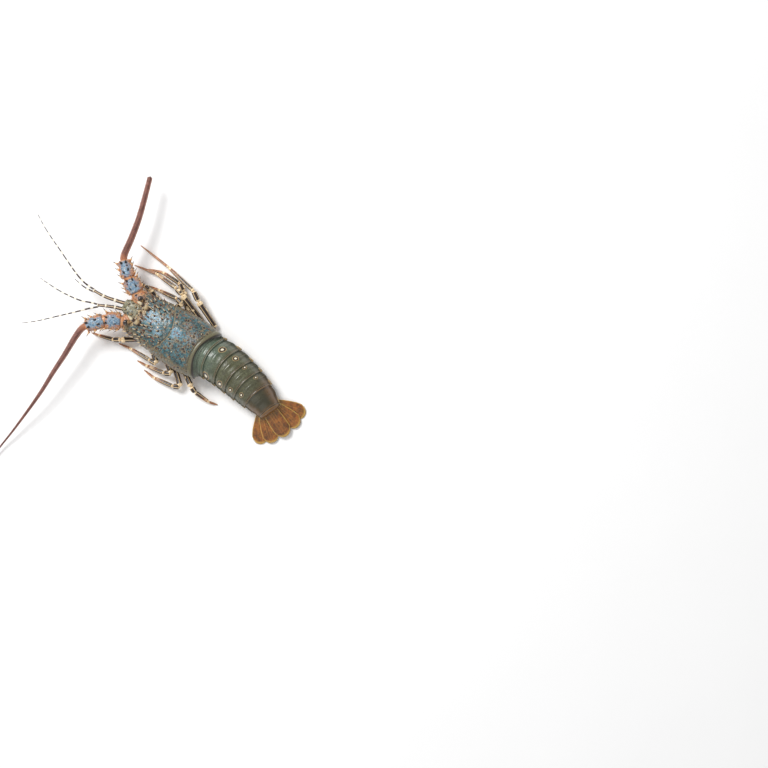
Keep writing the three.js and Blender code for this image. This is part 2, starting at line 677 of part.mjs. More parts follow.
for (const [name, legs] of Object.entries(legJoints)) {
  legs.forEach(([hip, thigh, knee, wrist, ankle, tip], k) => {
    const upper = (grow = 0) => [
      limbPiece(hip, thigh, legProfiles.hip, { sides: 7, grow, squash: 0.8 }),
      limbPiece(thigh, knee, legProfiles.thigh, { sides: 7, grow, squash: 0.85 }),
    ];
    addNode(`leg_${name}_${k + 1}_upper`, cutClear(fuse(upper()), [bellyGrown, carapaceGrown]),
      palette.leg, 0.45);
    const lower = [
      limbPiece(knee, wrist, legProfiles.knee, { sides: 7, squash: 0.9 }),
      limbPiece(wrist, ankle, legProfiles.shin, { sides: 7, squash: 0.85 }),
      limbPiece(ankle, tip, legProfiles.foot, { sides: 6 }),
    ];
    addNode(`leg_${name}_${k + 1}_lower`, cutClear(fuse(lower), upper(gap)), palette.legTip, 0.45);
  });
}

export default lobster;
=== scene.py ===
# A life-size spiny lobster, dressed over its solids, as a museum model on a pale table.
# Shapes are worked out in millimetres and built in metres. +X is the animal's left and +Y
# runs from head to tail.
import math

import bpy
import numpy as np
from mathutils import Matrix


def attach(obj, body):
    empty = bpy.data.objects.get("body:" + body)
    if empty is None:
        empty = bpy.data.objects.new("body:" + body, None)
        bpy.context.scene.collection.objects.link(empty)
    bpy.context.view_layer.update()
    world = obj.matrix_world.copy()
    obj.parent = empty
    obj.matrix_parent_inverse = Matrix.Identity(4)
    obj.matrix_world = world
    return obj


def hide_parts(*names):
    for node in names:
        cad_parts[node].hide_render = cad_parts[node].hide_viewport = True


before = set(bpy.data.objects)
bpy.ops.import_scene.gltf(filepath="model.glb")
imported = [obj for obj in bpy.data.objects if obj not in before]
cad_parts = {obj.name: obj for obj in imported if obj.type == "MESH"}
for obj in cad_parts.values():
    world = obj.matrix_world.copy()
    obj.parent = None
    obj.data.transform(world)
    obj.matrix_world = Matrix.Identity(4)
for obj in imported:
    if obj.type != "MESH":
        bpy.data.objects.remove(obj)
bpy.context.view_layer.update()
print("Frame loaded,", len(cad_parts), "solids")

mm = 0.001
sideSigns = {"right": -1, "left": 1}


# Numbers

def blendCurve(t, start, leave, end, arrive):    # between two values, with its slopes at both
    return (start * (1 + 2 * t) * (1 - t) ** 2 + leave * t * (1 - t) ** 2
            + end * t * t * (3 - 2 * t) + arrive * t * t * (t - 1))


def smoothColumn(table, column, at):    # a smooth curve through one column of a table
    places = np.array([row[0] for row in table], float)
    values = np.array([row[column] for row in table], float)
    last = len(places) - 1
    at = np.clip(np.asarray(at, float), places[0], places[-1])
    k = np.clip(np.searchsorted(places, at, side="left") - 1, 0, last - 1)
    before = np.maximum(np.arange(last + 1) - 1, 0)
    after = np.minimum(np.arange(last + 1) + 1, last)
    slope = (values[after] - values[before]) / (places[after] - places[before])
    span = places[k + 1] - places[k]
    t = (at - places[k]) / span
    return blendCurve(t, values[k], slope[k] * span, values[k + 1], slope[k + 1] * span)


wordMask = 2 ** 32 - 1    # keeps whole numbers to 32 bits
drawStride = 0x6d2b79f5
hashPrimes = [73856093, 19349663, 83492791]
hashSeedPrime, hashMixPrime = 40503, 1274126177


def seededDraws(seed):    # the same draws from 0 to 1 as the solids use
    state = seed
    while True:
        state = (state + drawStride) & wordMask
        mixed = ((state ^ (state >> 15)) * (1 | state)) & wordMask
        more = ((mixed ^ (mixed >> 7)) * (61 | mixed)) & wordMask
        mixed = ((mixed + more) & wordMask) ^ mixed
        yield (mixed ^ (mixed >> 14)) / (wordMask + 1)


def smoothStep(low, high, value):
    t = np.clip((np.asarray(value, float) - low) / (high - low), 0, 1)
    return t * t * (3 - 2 * t)


def hump(value, centre, width):
    return np.exp(-((np.asarray(value, float) - centre) / width) ** 2)


def travelled(path):    # the length of a path up to each of its points
    return np.concatenate([[0], np.cumsum(np.linalg.norm(np.diff(path, axis=0), axis=1))])


def unit(vectors):
    vectors = np.asarray(vectors, float)
    return vectors / np.maximum(np.linalg.norm(vectors, axis=-1, keepdims=True), 1e-9)


def softNoise(points, cell, seed):    # a smooth random field through space, from -1 to 1
    at = np.asarray(points, float) / cell
    base = np.floor(at).astype(np.int64)
    part = at - base
    part = part * part * (3 - 2 * part)
    total = np.zeros(at.shape[:-1])
    for corner in np.ndindex(2, 2, 2):
        mixed = np.bitwise_xor.reduce((base + corner) * hashPrimes, axis=-1)
        mixed = (mixed ^ seed * hashSeedPrime) & wordMask
        mixed = ((mixed ^ (mixed >> 13)) * hashMixPrime) & wordMask
        value = ((mixed ^ (mixed >> 16)) & 0xffff) / 32767.5 - 1
        total += value * np.prod(np.where(corner, part, 1 - part), axis=-1)
    return total


def smoothPath(points, count):    # evenly spaced points on a curve through a few points
    points = np.asarray(points, float)
    ends = np.vstack([2 * points[0] - points[1], points, 2 * points[-1] - points[-2]])
    t = np.linspace(0, 1, 40, endpoint=False)[:, None]
    stretches = []
    for p0, p1, p2, p3 in zip(ends, ends[1:], ends[2:], ends[3:]):
        d0, d1, d2 = (np.linalg.norm(b - a) ** 0.5 for a, b in ((p0, p1), (p1, p2), (p2, p3)))
        leave = ((p1 - p0) / d0 - (p2 - p0) / (d0 + d1) + (p2 - p1) / d1) * d1
        arrive = ((p2 - p1) / d1 - (p3 - p1) / (d1 + d2) + (p3 - p2) / d2) * d1
        stretches.append(blendCurve(t, p1, leave, p2, arrive))
    dense = np.vstack([*stretches, points[-1:]])
    lengths = travelled(dense)
    at = np.linspace(0, lengths[-1], count)
    return np.column_stack([np.interp(at, lengths, dense[:, k]) for k in range(3)])


# Forms: points, faces and marks, which are numbers on the points that the finishes read

def outward(form):
    points, volume = form["points"], 0.0
    for faces in (form["quads"], form["triangles"]):
        for k in range(1, faces.shape[1] - 1):
            a, b, c = points[faces[:, 0]], points[faces[:, k]], points[faces[:, k + 1]]
            volume += np.einsum("ij,ij->", a, np.cross(b, c))
    if volume < 0:
        form["quads"] = form["quads"][:, ::-1]
        form["triangles"] = form["triangles"][:, ::-1]
    return form


def gridForm(grid, firstPole=None, lastPole=None, **marks):    # rings in a row, closed at both ends
    rows, sides = grid.shape[:2]
    first = grid[0].mean(0) if firstPole is None else firstPole
    last = grid[-1].mean(0) if lastPole is None else lastPole
    index = np.arange(rows * sides).reshape(rows, sides)
    beside = np.roll(index, -1, axis=1)
    quads = np.stack([index[:-1], beside[:-1], beside[1:], index[1:]], axis=-1).reshape(-1, 4)
    pole = np.full(sides, rows * sides)
    triangles = np.vstack([np.stack([pole, beside[0], index[0]], axis=-1),
                           np.stack([pole + 1, index[-1], beside[-1]], axis=-1)])
    spread = {}
    for name, value in marks.items():
        value = np.broadcast_to(value, (rows, sides))
        spread[name] = np.concatenate([value.ravel(), [value[0].mean()], [value[-1].mean()]])
    return outward({"points": np.vstack([grid.reshape(-1, 3), first, last]), "quads": quads,
                    "triangles": triangles, "marks": spread})


def joinForms(forms):
    names = sorted({name for form in forms for name in form["marks"]})
    starts = np.cumsum([0] + [len(form["points"]) for form in forms])
    joined = {"points": np.vstack([form["points"] for form in forms]), "marks": {}}
    for part in ("quads", "triangles"):
        joined[part] = np.vstack([form[part] + start for form, start in zip(forms, starts)])
    for name in names:
        joined["marks"][name] = np.concatenate(
            [form["marks"].get(name, np.zeros(len(form["points"]))) for form in forms])
    return joined


def gridNormals(grid):    # outward normals of a ring grid
    along = np.gradient(grid, axis=0)
    around = np.roll(grid, -1, axis=1) - np.roll(grid, 1, axis=1)
    normals = unit(np.cross(along, around))
    away = grid - grid.mean(axis=1, keepdims=True)
    return normals * (1 if np.sum(normals * away) > 0 else -1)


def sectionTurns(over, under):    # turns round a section: over its top, then back underneath
    return np.concatenate([np.linspace(0, math.pi, over),
                           np.linspace(math.pi, 2 * math.pi, under + 2)[1:-1]])


def upperSine(turn):    # how far up a section a point lies, and -1 all along the underside
    return np.where(turn <= math.pi, np.sin(turn), -1)


def tubeForm(path, radii, sides=20, squash=1.0, relief=0.0, seed=1, **marks):
    path = np.asarray(path, float)
    axis = unit(np.gradient(path, axis=0))
    across = unit(np.stack([axis[:, 1], -axis[:, 0], np.zeros(len(axis))], axis=-1))
    upward = np.cross(across, axis)
    turn = np.arange(sides) / sides * 2 * math.pi
    radii = np.asarray(radii, float)[:, None, None]
    grid = (path[:, None] + across[:, None] * np.cos(turn)[None, :, None] * radii
            + upward[:, None] * np.sin(turn)[None, :, None] * radii * squash)
    if relief:
        grid = grid + gridNormals(grid) * (softNoise(grid, 2.2, seed) * relief)[..., None]
    lengths = travelled(path)[:, None]
    return gridForm(grid, path[0], path[-1], along=lengths, top=np.sin(turn)[None],
                    flank=np.cos(turn)[None], share=lengths / lengths[-1], **marks)


def limbForm(start, end, profile, sides=24, rows=40, squash=1.0, rounding=0.5, **marks):
    start, end = np.asarray(start, float), np.asarray(end, float)
    share = np.linspace(0, 1, rows)
    share = 0.45 * share + 0.55 * (0.5 - 0.5 * np.cos(math.pi * share))
    length = np.linalg.norm(end - start)
    radii = smoothColumn(profile, 1, share)
    for left, edge in ((share * length, radii[0]), ((1 - share) * length, radii[-1])):
        depth = np.clip(left / (rounding * edge), 0.004, 1)
        radii = radii * np.sqrt(1 - (1 - depth) ** 2)
    path = start + (end - start) * share[:, None]
    return tubeForm(path, radii, sides, squash, **marks)


def ballForm(centre, radii, rings=14, sides=20, **marks):
    turn = np.arange(sides) / sides * 2 * math.pi
    tilt = np.linspace(0.04, math.pi - 0.04, rings)
    ball = np.stack([np.sin(tilt)[:, None] * np.cos(turn), np.sin(tilt)[:, None] * np.sin(turn),
                     np.cos(tilt)[:, None] * np.ones(sides)], axis=-1)
    return gridForm(np.asarray(centre) + ball * np.asarray(radii), **marks)


# Pieces

def settle(piece, nodes, slot):
    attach(piece, "root")
    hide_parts(*nodes)
    return piece


def meshObject(name, points, faces, edges=(), marks=None):
    mesh = bpy.data.meshes.new(name)
    mesh.from_pydata((np.asarray(points) * mm).tolist(), list(edges), faces)
    for mark, values in (marks or {}).items():
        values = np.asarray(values, np.float32)
        kind = "FLOAT_VECTOR" if values.ndim == 2 else "FLOAT"
        field = "vector" if values.ndim == 2 else "value"
        mesh.attributes.new(mark, kind, "POINT").data.foreach_set(field, values.ravel())
    piece = bpy.data.objects.new(name, mesh)
    bpy.context.scene.collection.objects.link(piece)
    return piece


def formFaces(form):
    return form["quads"].tolist() + form["triangles"].tolist()


def buildPiece(name, forms, nodes, slot, finish):
    form = joinForms(forms)
    piece = meshObject(name, form["points"], formFaces(form), marks=form["marks"])
    piece.data.shade_smooth()
    piece.data.materials.append(finishes[finish])
    return settle(piece, nodes, slot)


# Node trees

class Wire:    # a node's output: arithmetic with it adds nodes, and [name] is another output
    def __init__(self, tree, socket):
        self.tree = tree
        self.socket = socket

    def __getitem__(self, name):
        return Wire(self.tree, self.socket.node.outputs[name])

    def __add__(self, other):
        return maths("ADD", self, other)

    def __sub__(self, other):
        return maths("SUBTRACT", self, other)

    def __rsub__(self, other):
        return maths("SUBTRACT", other, self)

    def __mul__(self, other):
        return maths("MULTIPLY", self, other)

    def __truediv__(self, other):
        return maths("DIVIDE", self, other)


def feed(node, values):    # wires are linked to the inputs, and plain values set on them
    for name, value in values.items():
        if isinstance(value, Wire):
            value.tree.links.new(value.socket, node.inputs[name])
        else:
            node.inputs[name].default_value = value


def addNode(tree, kind, values=None, **settings):
    node = tree.nodes.new(kind)
    for name, value in settings.items():
        setattr(node, name, value)
    feed(node, values or {})
    return Wire(tree, node.outputs[0])


def maths(operation, first, second=0.0):
    tree = (first if isinstance(first, Wire) else second).tree
    return addNode(tree, "ShaderNodeMath", {0: first, 1: second}, operation=operation)


def sway(value, amount):    # the swing of a noise about nothing
    return (value - 0.5) * amount


def ease(value, low, high, start=0.0, end=1.0):    # a soft step from start to end
    return addNode(value.tree, "ShaderNodeMapRange", {0: value, 1: low, 2: high, 3: start, 4: end},
                   interpolation_type="SMOOTHSTEP")


def ramp(value, stops, interpolation="LINEAR"):
    made = addNode(value.tree, "ShaderNodeValToRGB", {0: value})
    line = made.socket.node.color_ramp
    line.interpolation = interpolation
    for k, (place, colour) in enumerate(stops):
        stop = line.elements[k] if k < 2 else line.elements.new(place)
        stop.position = place
        stop.color = colour
    return made


def noise(place, scale, detail=3.0, roughness=0.55, distortion=0.0):
    return addNode(place.tree, "ShaderNodeTexNoise", {
        "Vector": place, "Scale": scale, "Detail": detail, "Roughness": roughness,
        "Distortion": distortion})


def newTree(name, kind, inputs, outputs):    # a socket is given by its first value or its kind
    tree = bpy.data.node_groups.new(name, kind)
    for way, sockets in (("INPUT", inputs), ("OUTPUT", outputs)):
        for label, value in sockets.items():
            valueKind = {int: "Int", float: "Float"}.get(type(value), value)
            made = tree.interface.new_socket(label, in_out=way, socket_type="NodeSocket" + valueKind)
            if valueKind != value:
                made.default_value = value
    entry = tree.nodes.new("NodeGroupInput")
    leave = tree.nodes.new("NodeGroupOutput")
    return tree, Wire(tree, entry.outputs[0]), leave


def growthTree(name, inputs):
    return newTree(name, "GeometryNodeTree", {"Geometry": "Geometry", **inputs, "Finish": "Material"},
                   {"Geometry": "Geometry"})


def closeTree(grown, entry, leave):    # what has grown is smoothed, gets its finish and goes out
    smooth = addNode(grown.tree, "GeometryNodeSetShadeSmooth", {"Geometry": grown})
    finished = addNode(grown.tree, "GeometryNodeSetMaterial", {
        "Geometry": smooth, "Material": entry["Finish"]})
    feed(leave, {"Geometry": finished})
    return grown.tree


def field(tree, name, kind="FLOAT"):
    return addNode(tree, "GeometryNodeInputNamedAttribute", {"Name": name}, data_type=kind)


def store(geometry, name, value, domain="POINT"):
    return addNode(geometry.tree, "GeometryNodeStoreNamedAttribute", {
        "Geometry": geometry, "Name": name, "Value": value}, data_type="FLOAT", domain=domain)


def vector(x, y, z):
    return addNode(x.tree, "ShaderNodeCombineXYZ", {0: x, 1: y, 2: z})


def spineTree():    # a curved cone on each point of the source
    tree, entry, leave = growthTree("spines", {"Sides": 10, "Steps": 6, "Swell": 0.25})
    cone = addNode(tree, "GeometryNodeMeshCone", {
        "Vertices": entry["Sides"], "Side Segments": entry["Steps"], "Radius Top": 0.0,
        "Radius Bottom": 1.0, "Depth": 1.0})
    place = addNode(tree, "GeometryNodeInputPosition")
    height = addNode(tree, "ShaderNodeSeparateXYZ", {0: place})["Z"]
    girth = 1.0 - maths("SINE", height * (math.pi / 2)) * entry["Swell"]
    narrowed = addNode(tree, "ShaderNodeVectorMath", {0: place, 1: vector(girth, girth, 1.0)},
                       operation="MULTIPLY")
    shaped = addNode(tree, "GeometryNodeSetPosition", {
        "Geometry": store(cone, "tip", height), "Position": narrowed})
    turned = addNode(tree, "FunctionNodeAlignRotationToVector", {
        "Vector": field(tree, "lean", "FLOAT_VECTOR")}, axis="Z")
    radius = field(tree, "girth")
    copies = addNode(tree, "GeometryNodeInstanceOnPoints", {
        "Points": entry["Geometry"], "Instance": shaped, "Rotation": turned,
        "Scale": vector(radius, radius, field(tree, "reach"))})
    real = addNode(tree, "GeometryNodeRealizeInstances", {"Geometry": copies})
    sweep = addNode(tree, "ShaderNodeVectorMath", {
        0: field(tree, "sweep", "FLOAT_VECTOR"),
        "Scale": maths("POWER", field(tree, "tip"), 2.0)}, operation="SCALE")
    swept = addNode(tree, "GeometryNodeSetPosition", {"Geometry": real, "Offset": sweep})
    return closeTree(swept, entry, leave)


def granuleTree():    # small domes scattered over a skin, thinned by its rough mark
    tree, entry, leave = growthTree("granules", {
        "Spacing": 0.002, "Smallest": 0.0003, "Largest": 0.0008, "Height": 0.7, "Seed": 3})
    spots = addNode(tree, "GeometryNodeDistributePointsOnFaces", {
        "Mesh": entry["Geometry"], "Distance Min": entry["Spacing"], "Density Max": 300000.0,
        "Density Factor": field(tree, "rough"), "Seed": entry["Seed"]}, distribute_method="POISSON")
    dome = addNode(tree, "GeometryNodeMeshUVSphere", {"Segments": 7, "Rings": 4, "Radius": 1.0})
    size = addNode(tree, "FunctionNodeRandomValue", {
        "Min": entry["Smallest"], "Max": entry["Largest"], "Seed": entry["Seed"]},
        data_type="FLOAT")["Value"]
    copies = addNode(tree, "GeometryNodeInstanceOnPoints", {
        "Points": spots["Points"], "Instance": dome, "Rotation": spots["Rotation"],
        "Scale": vector(size, size, size * entry["Height"])})
    kind = addNode(tree, "FunctionNodeRandomValue", {
        "Min": 0.0, "Max": 1.0, "Seed": entry["Seed"] + 5.0}, data_type="FLOAT")["Value"]
    real = addNode(tree, "GeometryNodeRealizeInstances", {
        "Geometry": store(copies, "kind", kind, "INSTANCE")})
    return closeTree(real, entry, leave)


def feelerTree():    # a ringed, tapering whip along a line of points
    tree, entry, leave = growthTree("feeler", {
        "Step": 0.0004, "Ring spacing": 0.0014, "Ring depth": 0.06, "Sides": 16})
    line = addNode(tree, "GeometryNodeMeshToCurve", {"Mesh": entry["Geometry"]})
    even = addNode(tree, "GeometryNodeResampleCurve", {"Curve": line, "Length": entry["Step"]},
                   mode="LENGTH")
    spline = addNode(tree, "GeometryNodeSplineParameter")
    circle = addNode(tree, "GeometryNodeCurvePrimitiveCircle", {
        "Resolution": entry["Sides"], "Radius": 1.0})
    wave = maths("ABSOLUTE", maths("SINE", spline["Length"] / entry["Ring spacing"] * math.pi))
    swell = (wave - 0.6) * entry["Ring depth"] + 1.0
    skin = addNode(tree, "GeometryNodeCurveToMesh", {
        "Curve": store(even, "along", spline["Length"] * (1 / mm)),
        # the cosine round the whip sets where its painted highlight line runs
        "Profile Curve": store(circle, "glintLine", maths("COSINE", spline["Factor"] * (2 * math.pi))),
        "Scale": field(tree, "girth") * swell, "Fill Caps": True})
    return closeTree(skin, entry, leave)


growths = {"spines": spineTree(), "granules": granuleTree(), "feeler": feelerTree()}


def grow(source, growth, name, nodes, slot, values):    # the source turns into a plain mesh
    modifier = source.modifiers.new(growth, "NODES")
    modifier.node_group = growths[growth]
    for item in modifier.node_group.interface.items_tree:
        if item.in_out == "INPUT" and item.name in values:
            modifier[item.identifier] = values[item.name]
    grown = source.evaluated_get(bpy.context.evaluated_depsgraph_get())
    mesh = bpy.data.meshes.new_from_object(grown)
    mesh.name = name
    source.modifiers.clear()
    bpy.data.objects.remove(source)
    piece = bpy.data.objects.new(name, mesh)
    bpy.context.scene.collection.objects.link(piece)
    return settle(piece, nodes, slot)


def growSpines(name, spines, nodes, slot, finish, sides=10, steps=6, swell=0.25):
    # each spine is a root, a direction, a length, a radius and a sideways sweep of its tip
    roots, leans, reach, radii, sweeps = (np.array(column, float) for column in zip(*spines))
    lean = unit(leans)
    sunk = np.minimum(1.2, 0.3 * reach)
    source = meshObject(name + "Roots", roots - lean * sunk[:, None], [], marks={
        "lean": lean, "reach": (reach + sunk) * mm, "girth": radii * mm, "sweep": sweeps * mm})
    return grow(source, "spines", name, nodes, slot, {
        "Sides": sides, "Steps": steps, "Swell": swell, "Finish": finishes[finish]})


fineHair = {"sides": 4, "swell": 0.0}


def growGranules(name, form, nodes, slot, finish, **values):
    source = meshObject(name + "Skin", form["points"], formFaces(form), marks=form["marks"])
    return grow(source, "granules", name, nodes, slot, {"Finish": finishes[finish], **values})


def growFeeler(name, path, radii, nodes, slot, finish, **values):
    edges = [(k, k + 1) for k in range(len(path) - 1)]
    source = meshObject(name + "Line", path, [], edges, {"girth": np.asarray(radii) * mm})
    return grow(source, "feeler", name, nodes, slot, {"Finish": finishes[finish], **values})


# Finishes

def seen(red, green, blue):    # a colour as it looks, 0 to 255, for the shader
    return tuple(((c / 255 + 0.055) / 1.055) ** 2.4 if c > 10 else c / 3294.6
                 for c in (red, green, blue)) + (1.0,)


def speckleGroup():    # round spots with a halo, some of which are left out
    tree, entry, leave = newTree("speckle", "ShaderNodeTree", {
        "Vector": "Vector", "Scale": 300.0, "Size": 0.25, "Share": 0.6},
        {"Mask": "Float", "Halo": "Float"})
    cells = addNode(tree, "ShaderNodeTexVoronoi", {
        "Vector": entry["Vector"], "Scale": entry["Scale"]})
    draw = addNode(tree, "ShaderNodeSeparateColor", {0: cells["Color"]})
    edge = entry["Size"] * (draw[1] * 0.8 + 0.6) - cells["Distance"]
    kept = maths("LESS_THAN", draw[0], entry["Share"])
    feed(leave, {"Mask": ease(edge, -0.03, 0.05) * kept, "Halo": ease(edge, -0.16, -0.09) * kept})
    return tree


def mottleGroup():    # blotches in two sizes, as a mask and a height
    tree, entry, leave = newTree("mottle", "ShaderNodeTree", {
        "Vector": "Vector", "Scale": 200.0, "Level": 0.5, "Softness": 0.08},
        {"Mask": "Float", "Height": "Float"})
    broad = noise(entry["Vector"], entry["Scale"], 4.0, 0.6, 0.3)
    fine = noise(entry["Vector"], entry["Scale"] * 3.7, 3.0, 0.6)
    height = broad * 0.65 + fine * 0.35
    mask = ease(height, entry["Level"] - entry["Softness"], entry["Level"] + entry["Softness"])
    feed(leave, {"Mask": mask, "Height": height})
    return tree


def filmGroup():    # an uneven wet film: roughness and fine height
    tree, entry, leave = newTree("film", "ShaderNodeTree", {
        "Vector": "Vector", "Roughness": 0.4, "Spread": 0.15},
        {"Roughness": "Float", "Height": "Float"})
    broad = noise(entry["Vector"], 130.0, 3.0, 0.6)
    fine = noise(entry["Vector"], 900.0, 4.0, 0.65)
    offset = broad + fine * 0.5 - 0.75
    feed(leave, {"Roughness": offset * entry["Spread"] + entry["Roughness"], "Height": fine})
    return tree


groups = {"speckle": speckleGroup(), "mottle": mottleGroup(), "film": filmGroup()}
wetCoat = {"Coat Weight": 0.3, "Coat Roughness": 0.2}
thinCoat = {"Coat Weight": 0.15, "Coat Roughness": 0.3}


class Painter:    # one material, painted in layers, with its look's colours called by name
    def __init__(self, name, look):
        self.look = look
        self.material = bpy.data.materials.new(name)
        self.material.use_nodes = True
        self.tree = self.material.node_tree
        self.tree.nodes.clear()
        self.shader = self.tree.nodes.new("ShaderNodeBsdfPrincipled")
        feed(self.shader, look["constants"])
        output = self.tree.nodes.new("ShaderNodeOutputMaterial")
        self.tree.links.new(self.shader.outputs[0], output.inputs[0])
        self.place = addNode(self.tree, "ShaderNodeTexCoord")["Object"]

    def mark(self, name):
        return addNode(self.tree, "ShaderNodeAttribute", attribute_name=name)["Fac"]

    def group(self, name, **values):
        return addNode(self.tree, "ShaderNodeGroup", {"Vector": self.place, **values},
                       node_tree=groups[name])

    def mottle(self, scale, level=0.5, softness=0.08):
        return self.group("mottle", Scale=scale, Level=level, Softness=softness)

    def mix(self, mask, below, above):
        below, above = (self.look[c] if isinstance(c, str) else c for c in (below, above))
        return addNode(self.tree, "ShaderNodeMix", {0: mask, 6: below, 7: above},
                       data_type="RGBA")[2]

    def start(self, mask, below, above):
        self.colour = self.mix(mask, below, above)

    def lay(self, mask, above):
        self.colour = self.mix(mask, self.colour, above)

    def dot(self, spot, halo, haloShare, scale, size, share):    # spots, each in its halo
        spots = self.group("speckle", Scale=scale, Size=size, Share=share)
        self.lay(spots["Halo"] * haloShare, halo)
        self.lay(spots["Mask"], spot)

    def finish(self, height, depth, roughness, spread):    # depth is the bump's, in millimetres
        film = self.group("film", Roughness=roughness, Spread=spread)
        bump = addNode(self.tree, "ShaderNodeBump", {
            "Height": film["Height"] * 0.35 + height, "Distance": depth * mm, "Strength": 1.0})
        feed(self.shader, {
            "Base Color": self.colour, "Roughness": film["Roughness"], "Normal": bump})
        return self.material


shellLook = {
    "teal": seen(56, 88, 88), "turquoise": seen(78, 130, 142), "sky": seen(130, 172, 194),
    "deep": seen(30, 48, 52), "rust": seen(138, 86, 64), "cream": seen(216, 200, 166),
    "black": seen(30, 22, 22), "tan": seen(148, 128, 96), "olive": seen(110, 98, 66),
    "oliveDark": seen(74, 70, 52), "seam": seen(136, 116, 82), "rim": seen(96, 94, 68),
    # the first colour on the next line is a painted shadow, for the gap behind the shell's rear edge
    "gapShadow": seen(40, 32, 22), "pink": seen(190, 168, 158), "head": seen(170, 108, 66),
    "headDark": seen(54, 34, 22), "headPale": seen(190, 164, 120), "slate": seen(52, 66, 68),
    "constants": {**wetCoat, "Specular IOR Level": 0.5},
    "spots": [    # colour, scale, size, share, those on the ground colours first
        ["rust", 270.0, 0.27, 0.34], ["cream", 200.0, 0.16, 0.22]],
    "blackSpots": [[118.0, 0.24, 0.62], [190.0, 0.24, 0.4], [400.0, 0.27, 0.3]],
}


def shellMaterial():
    paint = Painter("shellFinish", shellLook)
    blotch = paint.mottle(120.0, 0.48, 0.06)
    medium = paint.mottle(240.0, 0.48, 0.04)
    grains = paint.mottle(850.0, 0.5, 0.06)
    flecks = paint.mottle(210.0, 0.57, 0.03)
    blue, rim = paint.mark("blue"), paint.mark("rim")
    broken = ease(grains["Height"], 0.4, 0.56)

    paint.start(blotch["Mask"] * 0.55, "teal", "turquoise")
    patch = blue + sway(medium["Height"], 1.5)
    paint.lay(ease(patch, 0.3, 0.6, 0.0, 0.95), "turquoise")
    paint.lay(ease(patch, 0.62, 1.0, 0.0, 0.95), "sky")
    paint.lay((1.0 - medium["Mask"]) * ease(blue, 0.3, 1.1, 0.9, 0.35), "deep")
    paint.lay(flecks["Mask"] * 0.6, "tan")
    paint.lay(paint.mark("pink") * grains["Mask"], "pink")
    paint.lay((1.0 - grains["Mask"]) * 0.5, "deep")
    shade = paint.mark("slate") * (1.2 - medium["Mask"])
    paint.lay(ease(shade, 0.1, 0.9, 0.0, 0.8), "slate")

    head = paint.mix(blotch["Mask"], "head", "headPale")
    head = paint.mix(1.0 - medium["Mask"], head, "headDark")
    paint.lay(ease(paint.mark("head") + sway(flecks["Height"], 2.2), 0.4, 0.6, 0.0, 0.9), head)
    for spot, *sizes in paint.look["spots"]:
        paint.dot(spot, "black", broken, *sizes)
    olive = paint.mix(blotch["Mask"], "olive", "oliveDark")
    olive = paint.mix(grains["Mask"] * 0.3, olive, "tan")
    uneven = paint.mark("olive") + sway(flecks["Height"], 1.8)
    paint.lay(ease(uneven, 0.35, 0.7) * 0.85, olive)
    for sizes in paint.look["blackSpots"]:
        paint.dot("black", "tan", broken, *sizes)

    paint.lay(paint.mark("seam") * 0.85, "seam")
    band = paint.mix(medium["Mask"] * 0.45, "rim", "oliveDark")
    band = paint.mix(grains["Mask"] * 0.25, band, "tan")
    paint.lay(ease(rim + sway(grains["Height"], 0.8), 0.35, 0.65), band)
    # painted shadow: the shell's rear edge is painted near black for the shade in the gap over the first
    # ring
    paint.lay(paint.mark("rimLine"), "gapShadow")
    height = (grains["Height"] + medium["Height"]) * (1.0 - rim)
    return paint.finish(height, depth=0.4, roughness=0.4, spread=0.2)


spineLooks = {    # stops run from a spine's root to its tip
    "rearSpine": [(0.0, seen(150, 128, 96)), (0.16, seen(40, 28, 24)), (0.5, seen(110, 66, 46)),
                  (0.8, seen(166, 124, 92)), (1.0, seen(90, 62, 46))],
    "shellSpine": [(0.0, seen(30, 20, 16)), (0.3, seen(64, 38, 26)), (0.46, seen(206, 178, 134)),
                   (0.8, seen(238, 222, 188)), (1.0, seen(170, 122, 80))],
    "baseSpine": [(0.0, seen(40, 26, 20)), (0.25, seen(28, 20, 18)), (0.7, seen(18, 14, 14)),
                  (1.0, seen(64, 42, 30))],
    "edgeSpine": [(0.0, seen(168, 100, 60)), (0.24, seen(208, 152, 100)), (0.4, seen(228, 198, 150)),
                  (0.56, seen(96, 56, 34)), (0.75, seen(40, 26, 20)), (1.0, seen(26, 18, 16))],
    "legSpine": [(0.0, seen(120, 78, 44)), (0.5, seen(214, 178, 128)), (1.0, seen(60, 36, 24))],
    "hair": [(0.0, seen(120, 84, 46)), (0.6, seen(176, 138, 84)), (1.0, seen(206, 176, 122))],
    "hornBands": [(0.0, seen(38, 26, 20)), (0.2, seen(60, 36, 24)), (0.3, seen(196, 168, 124)),
                  (0.42, seen(228, 208, 170)), (0.5, seen(70, 42, 28)), (0.62, seen(52, 32, 24)),
                  (0.7, seen(230, 214, 178)), (0.9, seen(238, 224, 194)), (1.0, seen(140, 98, 64))],
}


def spineMaterial(name):
    paint = Painter(name, {"constants": wetCoat})
    shade = noise(paint.place, 420.0)
    paint.colour = ramp(paint.mark("tip") + sway(shade, 0.22), spineLooks[name])
    return paint.finish(shade, depth=0.15, roughness=0.38, spread=0.15)


granuleLook = {
    "kinds": [(0.0, seen(34, 26, 24)), (0.26, seen(132, 84, 62)), (0.44, seen(164, 142, 108)),
              (0.56, seen(210, 194, 160)), (0.64, seen(98, 150, 172)), (0.82, seen(44, 70, 72))],
    "shade": seen(60, 50, 40), "constants": wetCoat,
}


def granuleMaterial():
    paint = Painter("granuleFinish", granuleLook)
    grains = noise(paint.place, 600.0)
    paint.colour = ramp(paint.mark("kind"), granuleLook["kinds"], "CONSTANT")
    paint.lay(grains * 0.5, "shade")
    return paint.finish(grains, depth=0.1, roughness=0.36, spread=0.15)


